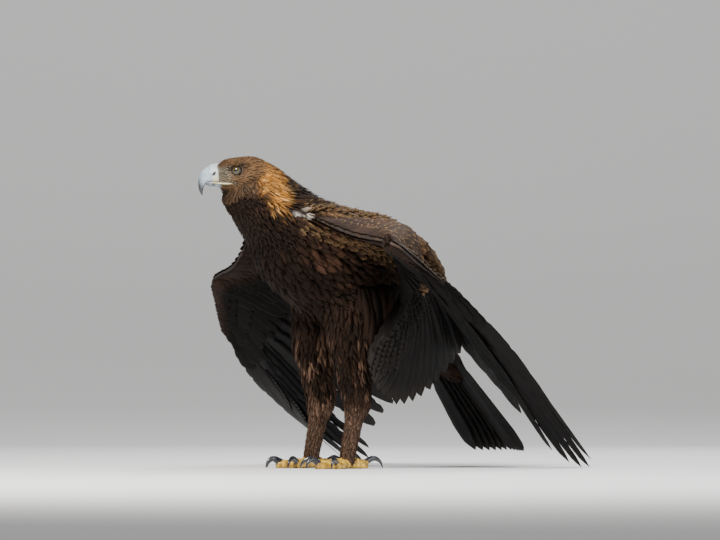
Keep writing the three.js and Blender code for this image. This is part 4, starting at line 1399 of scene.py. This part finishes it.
def claws(name, side):
    """Black claws that leave the toe upward and curve down to a point on the floor."""
    for toe, turn, length, radius, reach in TOES:
        way, start = toe_way(turn, side)
        run = length + np.array([-6, reach * 0.28, reach * 0.6, reach * 0.74])
        high = np.array([9, radius + 7, radius + 2, 1.1])
        centres = start + run[:, None] * way + UP * high[:, None]
        half = np.array([5.4, 4.6, 2.8, 0.7])
        claw = Tube(centres, np.column_stack([half * 0.85, half, half]), np.cross(way, UP))
        rings, t, angle = tube_rings(claw, 32, 18)
        rings[..., 2] = np.maximum(rings[..., 2], 0.0)
        tone = plain_tone("#15161a", "#33343a", 4.0)(rings, t, angle)
        made = shells(f"talon_{toe}_{name}", rings[None], tone[None])
        finish_piece(made, TALON, "talon", f"claw_{toe}_{name}")


for side_name, side_sign in SIDES.items():
    toes(side_name, side_sign)
    claws(side_name, side_sign)


# Floor, light and camera.
RIGHTWARD = np.array([0.574, 0.819, 0.0])
INTO = np.array([-0.819, 0.574, 0.0])
PIXELS_PER_MM = 0.6
IMAGE = (720, 540)
SHOULDERS_X, FLOOR_Y = 276, 469  # pixels of the image
CAMERA_DISTANCE = 20000.0


def studio():
    """A pale floor that turns up into a backdrop behind the bird, seen from the camera."""
    centre = np.array([-100.0, 200.0, 0.0])
    run = np.array([-24000.0, 2600.0, 3600.0, 4400.0, 5000.0, 5300.0])
    rise = np.array([0.0, 0.0, 60.0, 240.0, 600.0, 1080.0])
    points = []
    for along, high in zip(run, rise):
        for across in (-7000.0, 7000.0):
            points.append(centre + INTO * along + RIGHTWARD * across + UP * high)
    faces = [(2 * i, 2 * i + 1, 2 * i + 3, 2 * i + 2) for i in range(len(run) - 1)]
    mesh = bpy.data.meshes.new("floor")
    mesh.from_pydata(to_frame(points).tolist(), [], faces)
    mesh.polygons.foreach_set("use_smooth", np.ones(len(faces), bool))
    mesh.materials.append(material("floor_matt_pale", Base_Color=(0.83, 0.84, 0.86, 1.0), Roughness=0.9)[0])
    add_object("floor", mesh)


LIT_PLACE = np.array([-60.0, 100.0, 300.0])


def light(name, place, size, power, colour):
    """A round soft light of a diameter in metres and a power in watts, turned to the bird."""
    data = bpy.data.lights.new(name, "AREA")
    data.shape, data.size, data.energy, data.color = "DISK", size, power, colour
    made = add_object(name, data)
    made.location = to_frame(place)
    made.rotation_euler = look_at(LIT_PLACE - place)


def look_at(direction):
    """Turn that points -Z along a direction, with Y as far up as it goes."""
    return Vector(direction).to_track_quat("-Z", "Y").to_euler()


def camera():
    """Level telephoto camera at the photograph's viewing angle: the middle of the image is 140 mm right of
    and 332 mm over the point under the shoulders, at 0.6 pixels per millimetre."""
    right = (IMAGE[0] / 2 - SHOULDERS_X) / PIXELS_PER_MM
    rise = (FLOOR_Y - IMAGE[1] / 2) / PIXELS_PER_MM
    aim = RIGHTWARD * right + UP * rise
    data = bpy.data.cameras.new("camera")
    data.sensor_width = 36.0
    data.lens = 36.0 * CAMERA_DISTANCE / (IMAGE[0] / PIXELS_PER_MM)
    data.clip_end = 100.0
    made = add_object("camera", data)
    made.location = to_frame(aim - INTO * CAMERA_DISTANCE)
    made.rotation_euler = look_at(INTO)
    bpy.context.scene.camera = made


studio()
for name, right, into, high, size, power, colour in (
    ("key", -900, -1900, 2300.0, 1.0, 175.0, (1.0, 0.96, 0.9)),
    ("fill", 2200, -1400, 1100.0, 2.4, 36.0, (0.95, 0.97, 1.0)),
    ("rim", 900, 1900, 2100.0, 1.2, 38.0, (1.0, 1.0, 1.0)),
):
    light(name, RIGHTWARD * right + INTO * into + UP * high, size, power, colour)
world = bpy.data.worlds.new("studio")
world.use_nodes = True
world.node_tree.nodes["Background"].inputs[0].default_value = (1.0, 0.985, 0.96, 1.0)
world.node_tree.nodes["Background"].inputs[1].default_value = 0.42
bpy.context.scene.world = world
camera()
